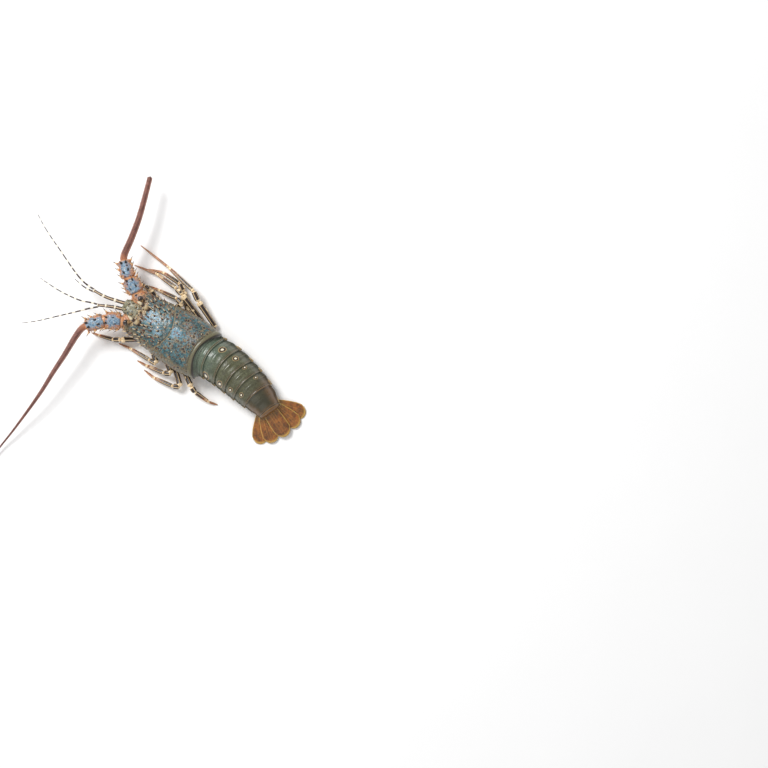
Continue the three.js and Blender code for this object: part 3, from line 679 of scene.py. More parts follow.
abdomenLook = {
    "green": seen(76, 76, 48), "pale": seen(122, 126, 98), "teal": seen(88, 106, 90),
    "dark": seen(38, 36, 22), "line": seen(40, 26, 14), "tan": seen(166, 140, 96),
    "cream": seen(242, 232, 204), "ring": seen(34, 22, 14), "amber": seen(132, 86, 32),
    "aft": seen(46, 40, 18), "constants": {"Coat Roughness": 0.3, "Specular IOR Level": 0.35},
    "eyeSpot": [[4.0, "tan"], [3.3, "ring"], [1.6, "cream"]],    # reach of each disc and its colour
}


def abdomenMaterial():
    paint = Painter("abdomenFinish", abdomenLook)
    blotch = paint.mottle(110.0, 0.5, 0.12)
    grains = paint.mottle(480.0, 0.5, 0.08)
    side, line = paint.mark("side"), paint.mark("line")
    paint.start(paint.mark("forward"), "green", "teal")
    paint.lay(blotch["Mask"] * 0.35, "pale")
    paint.lay((1.0 - grains["Mask"]) * 0.5, "dark")
    paint.lay(paint.mark("aft") * 0.8, "aft")
    paint.lay(paint.mark("amber") * 0.6, "amber")
    # painted shade: the lower flanks and underside of each ring, the collar and the swimmerets are
    # darkened for the shade near the table and under the body; the same mark takes their coat off and
    # roughens them
    paint.lay(side * 0.65, "dark")
    corner = paint.mark("corner") + sway(grains["Height"], 0.8)
    paint.lay(ease(corner, 0.45, 0.7), "tan")
    paint.lay(ease(line, 0.8, 1.4, 1.0, 0.0) * 0.35, "tan")
    paint.lay(ease(line, 0.4, 0.75, 1.0, 0.0), "line")
    spot = paint.mark("spot") + sway(grains["Height"], 0.6)
    for reach, shade in paint.look["eyeSpot"]:
        paint.lay(ease(spot, reach - 0.3, reach, 1.0, 0.0), shade)
    feed(paint.shader, {"Coat Weight": ease(side, 0.0, 1.0, 0.75, 0.0)})
    return paint.finish(grains["Height"], depth=0.22, roughness=ease(side, 0.0, 1.0, 0.3, 0.8),
                        spread=0.16)


fanLook = {
    "amber": seen(150, 88, 30), "deep": seen(74, 38, 14), "olive": seen(96, 82, 38),
    "edge": seen(206, 168, 84), "rib": seen(188, 130, 58),
    "constants": {"Coat Weight": 0.2, "Coat Roughness": 0.2, "Subsurface Weight": 0.12,
                  "Subsurface Scale": 0.002},
}


def fanMaterial():
    paint = Painter("fanFinish", fanLook)
    blotch = paint.mottle(130.0, 0.5, 0.12)
    grains = paint.mottle(620.0, 0.5, 0.08)
    fibre = maths("SINE", paint.mark("across") * 70.0)
    paint.start(blotch["Mask"], "amber", "deep")
    paint.lay(ease(paint.mark("share"), 0.05, 0.45, 1.0, 0.0) * 0.8, "olive")
    paint.lay(ease(fibre, 0.2, 1.0, 0.0, 0.3), "rib")
    paint.lay(paint.mark("rib") * 0.6, "rib")
    paint.lay(paint.mark("edge") * 0.8, "edge")
    return paint.finish(fibre * 0.4 + grains["Height"], depth=0.2, roughness=0.42, spread=0.15)


baseLook = {
    "orange": seen(188, 108, 62), "rust": seen(110, 56, 32), "tan": seen(224, 190, 146),
    "blue": seen(82, 118, 148), "pale": seen(134, 164, 184), "violet": seen(140, 134, 146),
    "dark": seen(44, 30, 30), "collar": seen(206, 148, 98), "constants": wetCoat,
}


def baseMaterial():
    paint = Painter("antennaBaseFinish", baseLook)
    blotch = paint.mottle(150.0, 0.52, 0.07)
    grains = paint.mottle(520.0, 0.5, 0.07)
    flecks = paint.mottle(300.0, 0.56, 0.03)
    paint.start(blotch["Mask"], "orange", "rust")
    paint.lay(grains["Mask"] * 0.5, "tan")
    uneven = paint.mark("blue") + sway(blotch["Height"], 2.4)
    paint.lay(ease(uneven, 0.45, 0.6, 0.0, 0.85), "violet")
    paint.lay(ease(uneven, 0.62, 0.8), paint.mix(grains["Mask"], "blue", "pale"))
    paint.lay((1.0 - grains["Mask"]) * 0.25, "dark")
    paint.lay(flecks["Mask"] * 0.4, "tan")
    paint.lay(paint.mark("collar"), paint.mix(flecks["Mask"], "collar", "orange"))
    paint.dot("dark", "violet", 0.6, 130.0, 0.22, 0.55)
    return paint.finish(grains["Height"], depth=0.35, roughness=0.4, spread=0.18)


feelerLook = {
    # the second colour on the next line is a painted highlight, for the glint along the whips
    "brown": seen(132, 84, 74), "glint": seen(196, 150, 132), "dark": seen(84, 50, 46),
    "start": seen(190, 122, 78), "constants": thinCoat, "ringSpacing": 1.4,
}


def feelerMaterial():
    paint = Painter("feelerFinish", feelerLook)
    blotch = paint.mottle(120.0, 0.5, 0.15)
    along = paint.mark("along")
    paint.start(blotch["Mask"], "brown", "dark")
    # painted highlight: a light line runs down two opposite sides of each whip, standing in for the glint
    # along it
    glintLine = ease(maths("ABSOLUTE", paint.mark("glintLine")), 0.7, 0.85)
    paint.lay(glintLine * 0.85, "glint")
    ring = maths("SINE", along * (2 * math.pi / feelerLook["ringSpacing"]))
    paint.lay(ease(ring, 0.3, 1.0, 0.0, 0.3), "dark")
    paint.lay(ease(along, 3.0, 14.0, 0.6, 0.0), "start")
    return paint.finish(blotch["Height"], depth=0.15, roughness=0.5, spread=0.15)


antennuleLook = {
    "dark": seen(50, 38, 34), "pale": seen(232, 224, 204), "brown": seen(104, 74, 56),
    "tan": seen(200, 172, 136), "constants": thinCoat,
    "spacing": 13.0, "darkShare": 0.64, "edge": 0.07,    # of the bands on the whips
}


def antennuleMaterial():    # long dark bands with pale gaps
    look = antennuleLook
    paint = Painter("antennuleFinish", look)
    shade = noise(paint.place, 500.0)
    phase = paint.mark("along") / look["spacing"] + sway(noise(paint.place, 260.0), 0.3)
    part = maths("FRACT", phase + maths("SINE", phase * 1.7) * 0.12)
    band = ease(part, 0.0, look["edge"]) - ease(part - look["darkShare"], 0.0, look["edge"])
    darker = paint.mix(ease(shade, 0.45, 0.75), "dark", "brown")
    paint.start(band, "pale", darker)
    return paint.finish(shade, depth=0.12, roughness=0.45, spread=0.12)


def stemMaterial():    # pale along the top, dark along the sides, pale at the joints
    paint = Painter("antennuleStemFinish", antennuleLook)
    shade = noise(paint.place, 420.0)
    wander = sway(shade, 0.6)
    away = maths("ABSOLUTE", paint.mark("flank") + wander)
    paint.start(ease(away, 0.2, 0.36), "tan", "dark")
    paint.lay(ease(shade, 0.5, 0.7, 0.0, 0.5), "brown")
    paint.lay(ease(paint.mark("joint") + wander, 0.4, 0.55), "pale")
    return paint.finish(shade, depth=0.15, roughness=0.42, spread=0.14)


legLook = {
    "dark": seen(30, 20, 16), "brown": seen(72, 44, 28), "cream": seen(236, 210, 168),
    "stripe": seen(222, 194, 152), "orange": seen(196, 112, 48), "rust": seen(130, 64, 26),
    "constants": wetCoat,
    "stripes": [[-0.4, 0.12], [0.8, 0.05]],    # place across the limb and half-width of each
}


def legMaterial(name):    # dark with pale lines and blocks, warmer towards the foot
    paint = Painter(name, legLook)
    blotch = paint.mottle(190.0, 0.56, 0.07)
    grains = paint.mottle(700.0, 0.5, 0.1)
    wander = sway(blotch["Height"], 0.5)
    near = paint.mix(blotch["Mask"] * 0.7, "dark", "brown")
    far = paint.mix(blotch["Mask"], "rust", "orange")
    paint.start(ease(paint.mark("distal") + wander, 0.3, 0.75), near, far)
    paint.lay(grains["Mask"] * 0.15, "brown")
    flank = paint.mark("flank") + wander * 0.4
    inside = ease(maths("ABSOLUTE", paint.mark("share") - 0.5), 0.38, 0.45, 1.0, 0.0)
    for centre, width in paint.look["stripes"]:
        away = maths("ABSOLUTE", flank - centre)
        paint.lay(ease(away, width, width + 0.05, 1.0, 0.0) * inside * 0.85, "stripe")
    under = ease(paint.mark("top") + wander, -0.75, -0.45, 0.8, 0.0)
    paint.lay(under, paint.mix(blotch["Mask"], "stripe", "orange"))
    blocks = paint.group("speckle", Scale=110.0, Size=0.4, Share=0.32)
    paint.lay(blocks["Mask"] * paint.mark("spotted"), "cream")
    paint.lay(ease(paint.mark("joint") + wander, 0.5, 0.6), "cream")
    return paint.finish(grains["Height"], depth=0.2, roughness=0.36, spread=0.16)


plateLook = {
    "green": seen(96, 98, 78), "grey": seen(146, 146, 128), "dark": seen(44, 32, 24),
    "yellow": seen(160, 140, 84), "constants": wetCoat,
}


def plateMaterial():
    paint = Painter("plateFinish", plateLook)
    blotch = paint.mottle(180.0, 0.5, 0.1)
    grains = paint.mottle(520.0, 0.52, 0.07)
    paint.start(blotch["Mask"], "green", "grey")
    paint.lay(grains["Mask"] * 0.35, "yellow")
    spots = paint.group("speckle", Scale=200.0, Size=0.32, Share=0.5)
    paint.lay(spots["Mask"] * 0.8, "dark")
    return paint.finish(grains["Height"], depth=0.3, roughness=0.42, spread=0.18)


underLook = {
    "tan": seen(196, 164, 122), "cream": seen(226, 206, 170), "brown": seen(112, 72, 42),
    "constants": thinCoat,
}


def underMaterial():
    paint = Painter("underFinish", underLook)
    blotch = paint.mottle(120.0, 0.5, 0.12)
    grains = paint.mottle(420.0, 0.56, 0.06)
    paint.start(blotch["Mask"], "tan", "cream")
    paint.lay(grains["Mask"] * 0.5, "brown")
    paint.lay(paint.mark("seam") * 0.7, "brown")
    return paint.finish(grains["Height"], depth=0.3, roughness=0.5, spread=0.15)


eyeLook = {
    "dark": seen(20, 14, 12), "brown": seen(58, 36, 24), "stalk": seen(196, 158, 110),
    "band": seen(70, 42, 28), "constants": {"Coat Weight": 0.9, "Coat Roughness": 0.06},
}


def eyeMaterial():
    paint = Painter("eyeFinish", eyeLook)
    cells = addNode(paint.tree, "ShaderNodeTexVoronoi", {"Vector": paint.place, "Scale": 2600.0})
    paint.start(ease(cells["Distance"], 0.2, 0.7), "brown", "dark")
    stalk = paint.mix(ease(noise(paint.place, 420.0), 0.45, 0.6), "stalk", "band")
    paint.lay(paint.mark("stalk"), stalk)
    return paint.finish(cells["Distance"], depth=0.03, roughness=0.16, spread=0.06)


finishes = {
    "shell": shellMaterial(), "granule": granuleMaterial(), "abdomen": abdomenMaterial(),
    "fan": fanMaterial(), "base": baseMaterial(), "feeler": feelerMaterial(),
    "antennule": antennuleMaterial(), "stem": stemMaterial(), "plate": plateMaterial(),
    "under": underMaterial(), "eye": eyeMaterial(), "leg": legMaterial("legFinish"),
    "legEnd": legMaterial("legEndFinish"), **{name: spineMaterial(name) for name in spineLooks},
}
print("Finishes made:", len(finishes))


# Shell

shellPiece = {
    "sections": [    # place on the midline, half-width, top, lower edge, set-back of the flank
        [-54, 31, 48, 24, -12], [-40, 33.5, 54, 17, -14], [-16, 36.5, 59.5, 13.5, -17],
        [4, 39.5, 61.5, 13.5, -18], [20, 42, 62.5, 13.5, -6], [36, 42.5, 62, 13.5, 4],
        [51, 38.5, 59.5, 13.5, 15]],
    "front": -54, "rear": 51, "groove": 4, "rim": 45.5, "grooveDepth": 1.3,
    "roundness": 0.88, "widest": 0.38,    # how boxy the section is, and how far up it is widest
    "crownShift": -6.5,    # the markings lie a little to the right of the shell's crown
    "bluePatches": [    # sideways, along, reach, strength
        [-6, -31, 13, 1.35], [-8, -23, 11, 1.2], [-17, -11, 13, 0.75], [7, -13, 10, 0.95],
        [-6, 12, 13, 1.0], [-5, 26, 12, 0.7], [14, 10, 11, 0.6], [18, 28, 12, 0.45],
        [-30, 10, 12, 0.3], [-27, -22, 10, 0.3]],
    "pinkPatches": [[-12, 36, 11, 0.6], [-24, 22, 8, 0.4]],
    "rows": 200, "topColumns": 190, "underColumns": 50,
    "granules": {"Spacing": 1.9 * mm, "Smallest": 0.28 * mm, "Largest": 0.78 * mm, "Height": 0.75,
                 "Seed": 7},
}


def shellPoint(along, turn, grow=0.0, fine=False):
    table = shellPiece["sections"]
    along, turn = np.broadcast_arrays(np.asarray(along, float), np.asarray(turn, float))
    if fine:    # rounded grooves for the skin, and the solids' plain ones for what grows on it
        dip = hump(along, shellPiece["groove"], 1.5) + 0.5 * hump(along, shellPiece["rim"], 1.1)
    else:
        dip = (np.maximum(0, 1 - np.abs(along - shellPiece["groove"]) / 2.5)
               + 0.6 * np.maximum(0, 1 - np.abs(along - shellPiece["rim"]) / 2.2))
    dip = shellPiece["grooveDepth"] * dip
    halfWidth = smoothColumn(table, 1, along) + grow - dip
    top = smoothColumn(table, 2, along) + grow - dip
    bottom = smoothColumn(table, 3, along) - grow
    setBack = smoothColumn(table, 4, along)
    widest = bottom + shellPiece["widest"] * (top - bottom)
    over = turn <= math.pi
    cosine, sine = (np.sign(part) * np.abs(part) ** shellPiece["roundness"]
                    for part in (np.cos(turn), np.sin(turn)))
    under = (turn - math.pi) / math.pi
    fold = np.minimum(1, 2.9 * np.minimum(under, 1 - under))    # down each flank to its lower edge
    reach = 1 - 0.22 * np.abs(fold) ** 1.6    # which turns in a little
    inward = np.clip(1 - np.abs(under - 0.5) / 0.155, 0, 1)    # and the underside closes
    x = np.where(over, cosine * halfWidth,
                 np.where(under < 0.5, -1, 1) * halfWidth * reach * (1 - inward))
    z = np.where(over, widest + np.abs(sine) * (top - widest), widest + (bottom - widest) * fold)
    share = np.minimum(1, np.abs(x) / halfWidth)
    return np.stack([x, along + setBack * share * share, z], axis=-1)


def surfaceNormal(pointAt, along, turn):
    here = pointAt(along, turn)
    return unit(np.cross(pointAt(along + 1, turn) - here, pointAt(along, turn + 0.01) - here))


def patchMark(points, patches):
    total = np.zeros(points.shape[:-1])
    for x, y, reach, strength in patches:
        away = np.hypot(points[..., 0] - x, points[..., 1] - y)
        total = np.maximum(total, strength * smoothStep(reach * 1.35, reach * 0.3, away))
    return total


def shellForm():
    settings = shellPiece
    along = np.linspace(settings["front"], settings["rear"], settings["rows"])[:, None]
    turn = sectionTurns(settings["topColumns"], settings["underColumns"])[None]
    grid = shellPoint(along, turn, fine=True)
    half = smoothColumn(settings["sections"], 1, along)
    crown = np.clip(upperSine(turn), 0, 1)
    drift = settings["crownShift"] * crown
    share = np.clip((grid[..., 0] - drift) / half, -1, 1)
    over = smoothStep(-0.05, 0.12, upperSine(turn))
    rim = smoothStep(settings["rim"] - 1.2, settings["rim"] + 0.6, along) * np.ones_like(share)
    wobble = 0.9 * softNoise(grid, 9.0, 3)
    sideways = np.abs(share) * half
    gill = hump(sideways, 13.5 - 0.12 * (along - 4) + wobble, 0.75)    # a faint line down each side
    gill = gill * smoothStep(5, 9, along) * smoothStep(38, 30, along)
    cervical = hump(along, settings["groove"] + 0.4 * wobble, 0.85)    # the groove over the back
    cheek = hump(sideways, 22 - 0.2 * (along + 20) + wobble, 0.7)    # and one down each cheek
    cheek = cheek * smoothStep(-40, -34, along) * smoothStep(2, -2, along)
    seam = np.clip(cervical + 0.8 * gill + 0.5 * cheek, 0, 1) * over
    rough = over * (1 - rim) * (1 - seam)
    bumps = 0.34 * softNoise(grid, 3.4, 5) + 0.2 * softNoise(grid, 1.5, 9)
    frontward = smoothStep(10, -50, along)
    bumps = bumps * (0.7 + 0.9 * frontward) * rough - 0.5 * gill - 0.35 * cheek
    lip = 0.5 * rim * hump(along, settings["rear"] - 2.4, 2.2)
    grid = grid + gridNormals(grid) * (bumps + lip)[..., None]
    olive = np.maximum(smoothStep(0.72, 1.0, np.abs(share)), smoothStep(36, 46, along) * 0.7)
    olive = np.maximum(olive, 1 - over)
    blue = patchMark(grid, settings["bluePatches"])
    return gridForm(
        grid, np.array([0, settings["front"] + 2, 36]), np.array([0, settings["rear"] + 1, 36]),
        blue=blue, pink=patchMark(grid, settings["pinkPatches"]),
        olive=olive, seam=seam, rim=rim * over, rough=rough * (0.45 + 0.55 * frontward),
        head=smoothStep(-33, -50, along + 0.2 * np.abs(grid[..., 0] - drift)) * over,
        slate=smoothStep(-8, -34, along) * (1 - np.clip(blue, 0, 1)),
        # painted shadow: the last two millimetres of the shell's top, where shade falls in the gap over
        # the first ring
        rimLine=smoothStep(settings["rear"] - 2.0, settings["rear"] - 0.9, along) * over)


eyePlace = np.array([20.5, -60.5, 51.5])
shellSpikes = {
    "large": [    # sideways, along, length
        [-23, -28.3, 7.0], [-16.5, -33, 6.0], [8.4, -29, 6.5], [5.2, -22.9, 4.5], [-8.9, -20.6, 4.0],
        [2.3, -8.2, 4.0], [21, -32.5, 6.0], [26.6, -29, 5.5], [-33, -14, 4.5], [-5, -41, 5.0]],
    "rows": 12, "firstRow": -50, "rowSpacing": 7.4, "frontCount": 8, "rearCount": 5,
    "frontEnd": -56, "eyeClearance": 15, "largeClearance": 3,    # where the rows leave spines out
    "small": 150, "smallEyeClearance": 12, "smallClearance": 3.4, "grooveClearance": 2.5,
}


def shellTurn(x, along):    # the turn of the shell's section that lies at x
    half = float(smoothColumn(shellPiece["sections"], 1, along))
    return math.acos(math.copysign(abs(x / half) ** (1 / shellPiece["roundness"]), x))


def eyeGap(root):    # how far a root is from the eye on its side
    return np.linalg.norm(root - eyePlace * [math.copysign(1, root[0]), 1, 1])


def nearest(root, spines):
    return min(np.linalg.norm(root - spine[0]) for spine in spines)


def shellSpines():    # the rows that the solids have, with short ones between them
    settings = shellSpikes
    draw = seededDraws(11)
    spines = []
    for x, y, length in settings["large"]:
        setBack = float(smoothColumn(shellPiece["sections"], 4, y))
        place = y - setBack * (x / 38) ** 2
        turn = shellTurn(x, place)
        lean = surfaceNormal(shellPoint, place, turn) + [0, -1.1, 0]
        spines.append([shellPoint(place, turn), lean, length, 0.27 * length,
                       [0, -0.25 * length, 0.06 * length]])
    large = list(spines)
    for row in range(settings["rows"]):
        front = 1 - row / (settings["rows"] - 1)
        count = settings["frontCount" if front > 0.4 else "rearCount"]
        for k in range(count):
            spread = (k + 0.5 + (0.25 if row % 2 else -0.25)) / count
            turn = math.pi * (0.04 + 0.92 * spread) + 0.08 * (next(draw) - 0.5)
            place = settings["firstRow"] + row * settings["rowSpacing"] + 2.4 * (next(draw) - 0.5)
            length = 2.6 + 4.4 * front ** 1.3 + 1.4 * next(draw) * front
            root = shellPoint(place, turn)
            if (eyeGap(root) < settings["eyeClearance"] or root[1] < settings["frontEnd"]
                    or nearest(root, large) < settings["largeClearance"]):
                continue
            lean = surfaceNormal(shellPoint, place, turn) + [0, -0.75, 0]
            spines.append([root, lean, length, 0.9 + 0.17 * length, [0, -0.22 * length, 0.04 * length]])
    chance = np.random.default_rng(4)
    for _ in range(settings["small"]):
        place, turn = chance.uniform(settings["firstRow"], 40), math.pi * chance.uniform(0.03, 0.97)
        front = smoothStep(30, -50, place)
        root = shellPoint(place, turn)
        if (eyeGap(root) < settings["smallEyeClearance"]
                or nearest(root, spines) < settings["smallClearance"]
                or abs(place - shellPiece["groove"]) < settings["grooveClearance"]):
            continue
        length = 1.1 + 1.7 * float(front) * chance.uniform(0.4, 1.2)
        lean = surfaceNormal(shellPoint, place, turn) + [0, -0.9, 0]
        spines.append([root, lean, length, 0.55 + 0.2 * length, [0, -0.2 * length, 0]])
    return spines


hornPiece = {
    "points": [[12, -1, -41, 49.5], [13, -2, -52, 61.5], [12, -3, -60.5, 70.3]],    # apart, shift, y, z
    "tipRadius": 0.35, "girth": 4.5, "taper": 0.85, "rows": 60,
}


def hornForm(side):
    settings = hornPiece
    path = smoothPath([[side * apart + shift, y, z] for apart, shift, y, z in settings["points"]],
                      settings["rows"])
    t = np.linspace(0, 1, settings["rows"])
    radii = settings["tipRadius"] + settings["girth"] * (1 - t) ** settings["taper"]
    return tubeForm(path, radii, sides=28, relief=0.22, seed=6, tip=t[:, None])


shell = shellForm()
buildPiece("shellBack", [shell], ["carapace"], "shell", "shell")
spines = shellSpines()
pale = [spine[2] > 3.4 and (k < len(shellSpikes["large"]) or k % 3 != 0)
        for k, spine in enumerate(spines)]    # most of the longer ones
for name, finish, kind in (("shellPaleSpines", "shellSpine", True),
                           ("shellBrownSpines", "rearSpine", False)):
    growSpines(name, [spine for spine, isPale in zip(spines, pale) if isPale == kind], ["carapace"],
               "shell", finish)
growGranules("shellGranules", shell, ["carapace"], "shell", "granule", **shellPiece["granules"])
for name, side in sideSigns.items():
    buildPiece("horn_" + name, [hornForm(side)], ["carapace"], "shell", "hornBands")
print("Shell made")


# Belly

bellyPiece = {
    "sections": [[-50, 12, 14], [-38, 15, 4], [-28, 18, 0], [36, 24, 0], [46, 25, 3]],
    "flat": 17, "roof": 24, "lip": 7, "seams": [-26, -10, 6.5, 23, 39],
    "rows": 110, "edgeSteps": 9,    # rings, and points along each of the six edges of a ring
    "jaw": [[4, -40, 10], [3, -55, 14]], "jawProfile": [[0, 3], [0.5, 3.6], [1, 1.5]],
}


def bellyForm():
    settings = bellyPiece
    table = settings["sections"]
    along = np.linspace(table[0][0], table[-1][0], settings["rows"])
    half = smoothColumn(table, 1, along)
    low = np.maximum(0, smoothColumn(table, 2, along))
    lip = low + settings["lip"]
    flat = settings["flat"] * half / 24
    roof = np.full_like(half, settings["roof"])
    corners = np.stack([np.stack([x, along, z], axis=-1) for x, z in (
        (half, roof), (half, lip), (flat, low), (-flat, low), (-half, lip), (-half, roof))], axis=1)
    t = np.arange(settings["edgeSteps"]) / settings["edgeSteps"]
    grid = np.concatenate([corners[:, k, None] * (1 - t)[None, :, None]
                           + np.roll(corners, -1, axis=1)[:, k, None] * t[None, :, None]
                           for k in range(6)], axis=1)
    seam = sum(hump(grid[..., 1], place, 0.7) for place in settings["seams"])
    seam = np.clip(seam + hump(grid[..., 0], 0, 0.8) * (grid[..., 2] < 3), 0, 1)
    inside = seam * 0.9 + 0.15 * softNoise(grid, 3.0, 8)
    grid = grid - gridNormals(grid) * np.maximum(inside, 0)[..., None]
    grid[..., 2] = np.maximum(grid[..., 2], 0.02)
    return gridForm(grid, seam=seam)


jaws = [limbForm(*(np.array(bellyPiece["jaw"]) * [side, 1, 1]), bellyPiece["jawProfile"])
        for side in (-1, 1)]
buildPiece("sternum", [bellyForm(), *jaws], ["belly"], "underside", "under")
print("Belly made")


# Abdomen

abdomenPiece = {
    "sections": [    # place, sideways shift of the midline, half-width, top, flank set-back
        [44, -0.5, 34.5, 56.5, 11], [67, -2, 34, 58, 8], [91, -2, 33.5, 56.5, 7],
        [113, 1, 32, 54, 6], [132, 4.5, 30, 50.5, 5], [154, 9.5, 26.5, 45, 4],
        [183, 19.5, 18, 30, 2], [205, 30, 16, 23, 2]],
    "edges": [51, 67, 91, 113, 132, 154, 183],
    "profile": [[0, -1.7, 0.75], [0.14, -1.1, 0.7], [0.4, 0, 0.4], [0.58, -0.5, 0.18],
                [0.8, 0.5, 0.06], [1, 0.6, 0.3]],    # share of a ring, swell, how low its flap hangs
    "tuck": 4, "rows": 70, "topColumns": 120, "underColumns": 49, "collarEnd": 57.0,
    "endRows": 9, "endDepth": 5.0, "roundness": 0.94,
    "noSpot": 20.0, "noLine": 6.0,    # how far a point counts from an eyespot or line it hasn't got
    "eyeSpots": [    # sideways, along, size
        [24.9, 79.2, 1.9], [-21.5, 80, 1.4], [24, 102.7, 1.6], [-20.2, 103, 1.2],
        [23, 120.8, 1.1], [-16.4, 121, 0.9], [20.7, 138.3, 1.0], [-12, 142.4, 0.85]],
}


tailHeading = 0.43    # the bend of the tail to its left


def abdomenPoint(along, turn, bell, keel):
    table = abdomenPiece["sections"]
    along, turn, bell, keel = np.broadcast_arrays(along, turn, bell, keel)
    halfWidth = smoothColumn(table, 2, along) + bell
    top = smoothColumn(table, 3, along) + bell
    widest = 0.32 * smoothColumn(table, 3, along)
    low = widest * keel
    roof = widest * 0.5
    over = turn <= math.pi
    part = np.clip((turn - math.pi) / math.pi, 0, 1)
    mirrored = np.minimum(part, 1 - part)
    stops = [0, 0.1, 0.2, 0.3, 0.4, 0.5]
    reach = np.interp(mirrored, stops, [1, 1, 0.95, 0.86, 0.5, 0])
    flap = np.interp(mirrored, stops, [0, 0.5, 1, 1, 0, 0])
    vault = np.interp(mirrored, [0.3, 0.4, 0.5], [0, 1, 1])
    depth = widest * (1 - flap) * (1 - vault) + low * flap * (1 - vault) + roof * vault
    cosine, roundness = np.cos(turn), abdomenPiece["roundness"]
    across = np.where(over, np.sign(cosine) * np.abs(cosine) ** roundness,
                      np.where(part <= 0.5, -1, 1) * reach) * halfWidth
    z = np.where(over, widest + np.abs(np.sin(turn)) ** roundness * (top - widest), depth)
    heading = np.arctan((smoothColumn(table, 1, along + 1) - smoothColumn(table, 1, along - 1)) / 2)
    setBack = smoothColumn(table, 4, along) * (across / halfWidth) ** 2
    return np.stack([
        smoothColumn(table, 1, along) + across * np.cos(heading) + setBack * np.sin(heading),
        along - across * np.sin(heading) + setBack * np.cos(heading), z], axis=-1)


def ringForm(index):
    settings = abdomenPiece
    start, end = settings["edges"][index], settings["edges"][index + 1]
    first = -settings["tuck"] / (end - start)
    share = np.linspace(first, 1, settings["rows"])[:, None]
    inner = np.clip(share, 0, 1)
    turn = sectionTurns(settings["topColumns"], settings["underColumns"])[None]
    profile = settings["profile"]
    bell = np.where(share < 0, -1.7, smoothColumn(profile, 1, inner))
    keel = smoothColumn(profile, 2, inner)
    along = start + share * (end - start)
    grid = abdomenPoint(along, turn, bell, keel)
    over = smoothStep(-0.2, 0.1, upperSine(turn))
    fold = np.abs(share - 0.36) * (end - start) * np.ones_like(turn)
    lip = (1 - share) * (end - start) * np.ones_like(turn)
    faint = 1.5 if index < 5 else 3.0
    line = np.minimum(fold + faint - 0.7 * np.abs(np.cos(turn)), np.abs(lip - 1.9) + 0.05)
    relief = 0.35 * hump(lip, 0.9, 1.0) - 0.55 * hump(lip, 2.4, 0.7) - 0.4 * hump(fold, 0, 0.8)
    relief = (relief + 0.1 * softNoise(grid, 2.4, 12 + index)) * over * (share > 0)
    grid = grid + gridNormals(grid) * relief[..., None]
    spot = np.full(grid.shape[:2], settings["noSpot"])
    around = np.cumsum(np.linalg.norm(np.diff(grid, axis=1, prepend=grid[:, :1]), axis=2), axis=1)
    for x, y, size in settings["eyeSpots"]:
        away = np.hypot(grid[..., 0] - x, grid[..., 1] - y) + 50 * (grid[..., 2] < 18)
        row, column = np.unravel_index(np.argmin(away), away.shape)
        if away[row, column] < 1.5 and share[row, 0] > 0:
            spot = np.minimum(spot, np.hypot(1.15 * (along - along[row]),
                                             0.85 * (around - around[row, column])) / size)
    flap = np.where(turn <= math.pi, 0, 1) * smoothStep(0.3, 0.8, share)
    corner = np.maximum(flap, smoothStep(0.9, 1.0, np.abs(np.cos(turn))) * smoothStep(0.4, 0.9, share))
    crown = grid[:, np.argmin(np.abs(turn[0] - math.pi / 2))]
    poles = [[crown[k][0], crown[k][1] + 0.5, 0.55 * crown[k][2]] for k in (0, -1)]
    marks = {
        "line": line + settings["noLine"] * (1 - over), "spot": spot, "corner": corner,
        "forward": smoothStep(100, 66, grid[..., 1]),
        # the side mark paints shade on the lower flanks and underside, and takes their coat off
        "side": smoothStep(0.75, 0.25, upperSine(turn)) + share * 0,
        "aft": smoothStep(128, 172, grid[..., 1]),
        "amber": smoothStep(140, 170, grid[..., 1])
        * np.maximum(smoothStep(0.3, 0.95, np.abs(np.cos(turn))), hump(lip, 0, 4))}
    if index == 5:    # the end closes in a shallow dome above the tail fan
        turns = np.radians(np.linspace(12, 84, settings["endRows"]))[:, None, None]
        heading = np.array([math.sin(tailHeading), math.cos(tailHeading), 0])
        dome = (poles[1] + (grid[-1:] - poles[1]) * np.cos(turns)
                + heading * settings["endDepth"] * np.sin(turns))
        grid = np.concatenate([grid, dome])
        marks = {name: np.concatenate([values, np.repeat(values[-1:], len(dome), axis=0)])
                 for name, values in marks.items()}
        poles[1] = poles[1] + heading * settings["endDepth"]
    return gridForm(grid, *map(np.array, poles), **marks)


def collarForm():    # the soft skin between the shell and the first ring
    turn = sectionTurns(100, 50)
    start = shellPoint(shellPiece["rear"] - 1.5, turn, grow=-1.2)
    end = abdomenPoint(abdomenPiece["collarEnd"], turn, -0.7, 0.7)
    share = np.linspace(0, 1, 14)[:, None, None]
    grid = start * (1 - share) + end * share
    grid = grid + gridNormals(grid) * (0.35 * np.sin(share * 20) + 0.2)
    over = smoothStep(-0.2, 0.1, upperSine(turn))
    # painted shade: the collar lies in shade behind the shell's rim, so its front takes the dark line
    # colour and its side mark darkens it
    line = abdomenPiece["noLine"] * smoothStep(0, 0.4, share[..., 0])
    return gridForm(grid, start.mean(axis=0), end.mean(axis=0), line=line, spot=abdomenPiece["noSpot"],
                    corner=0.0, forward=1.0, side=1 - over * 0.6 + share[..., 0] * 0)


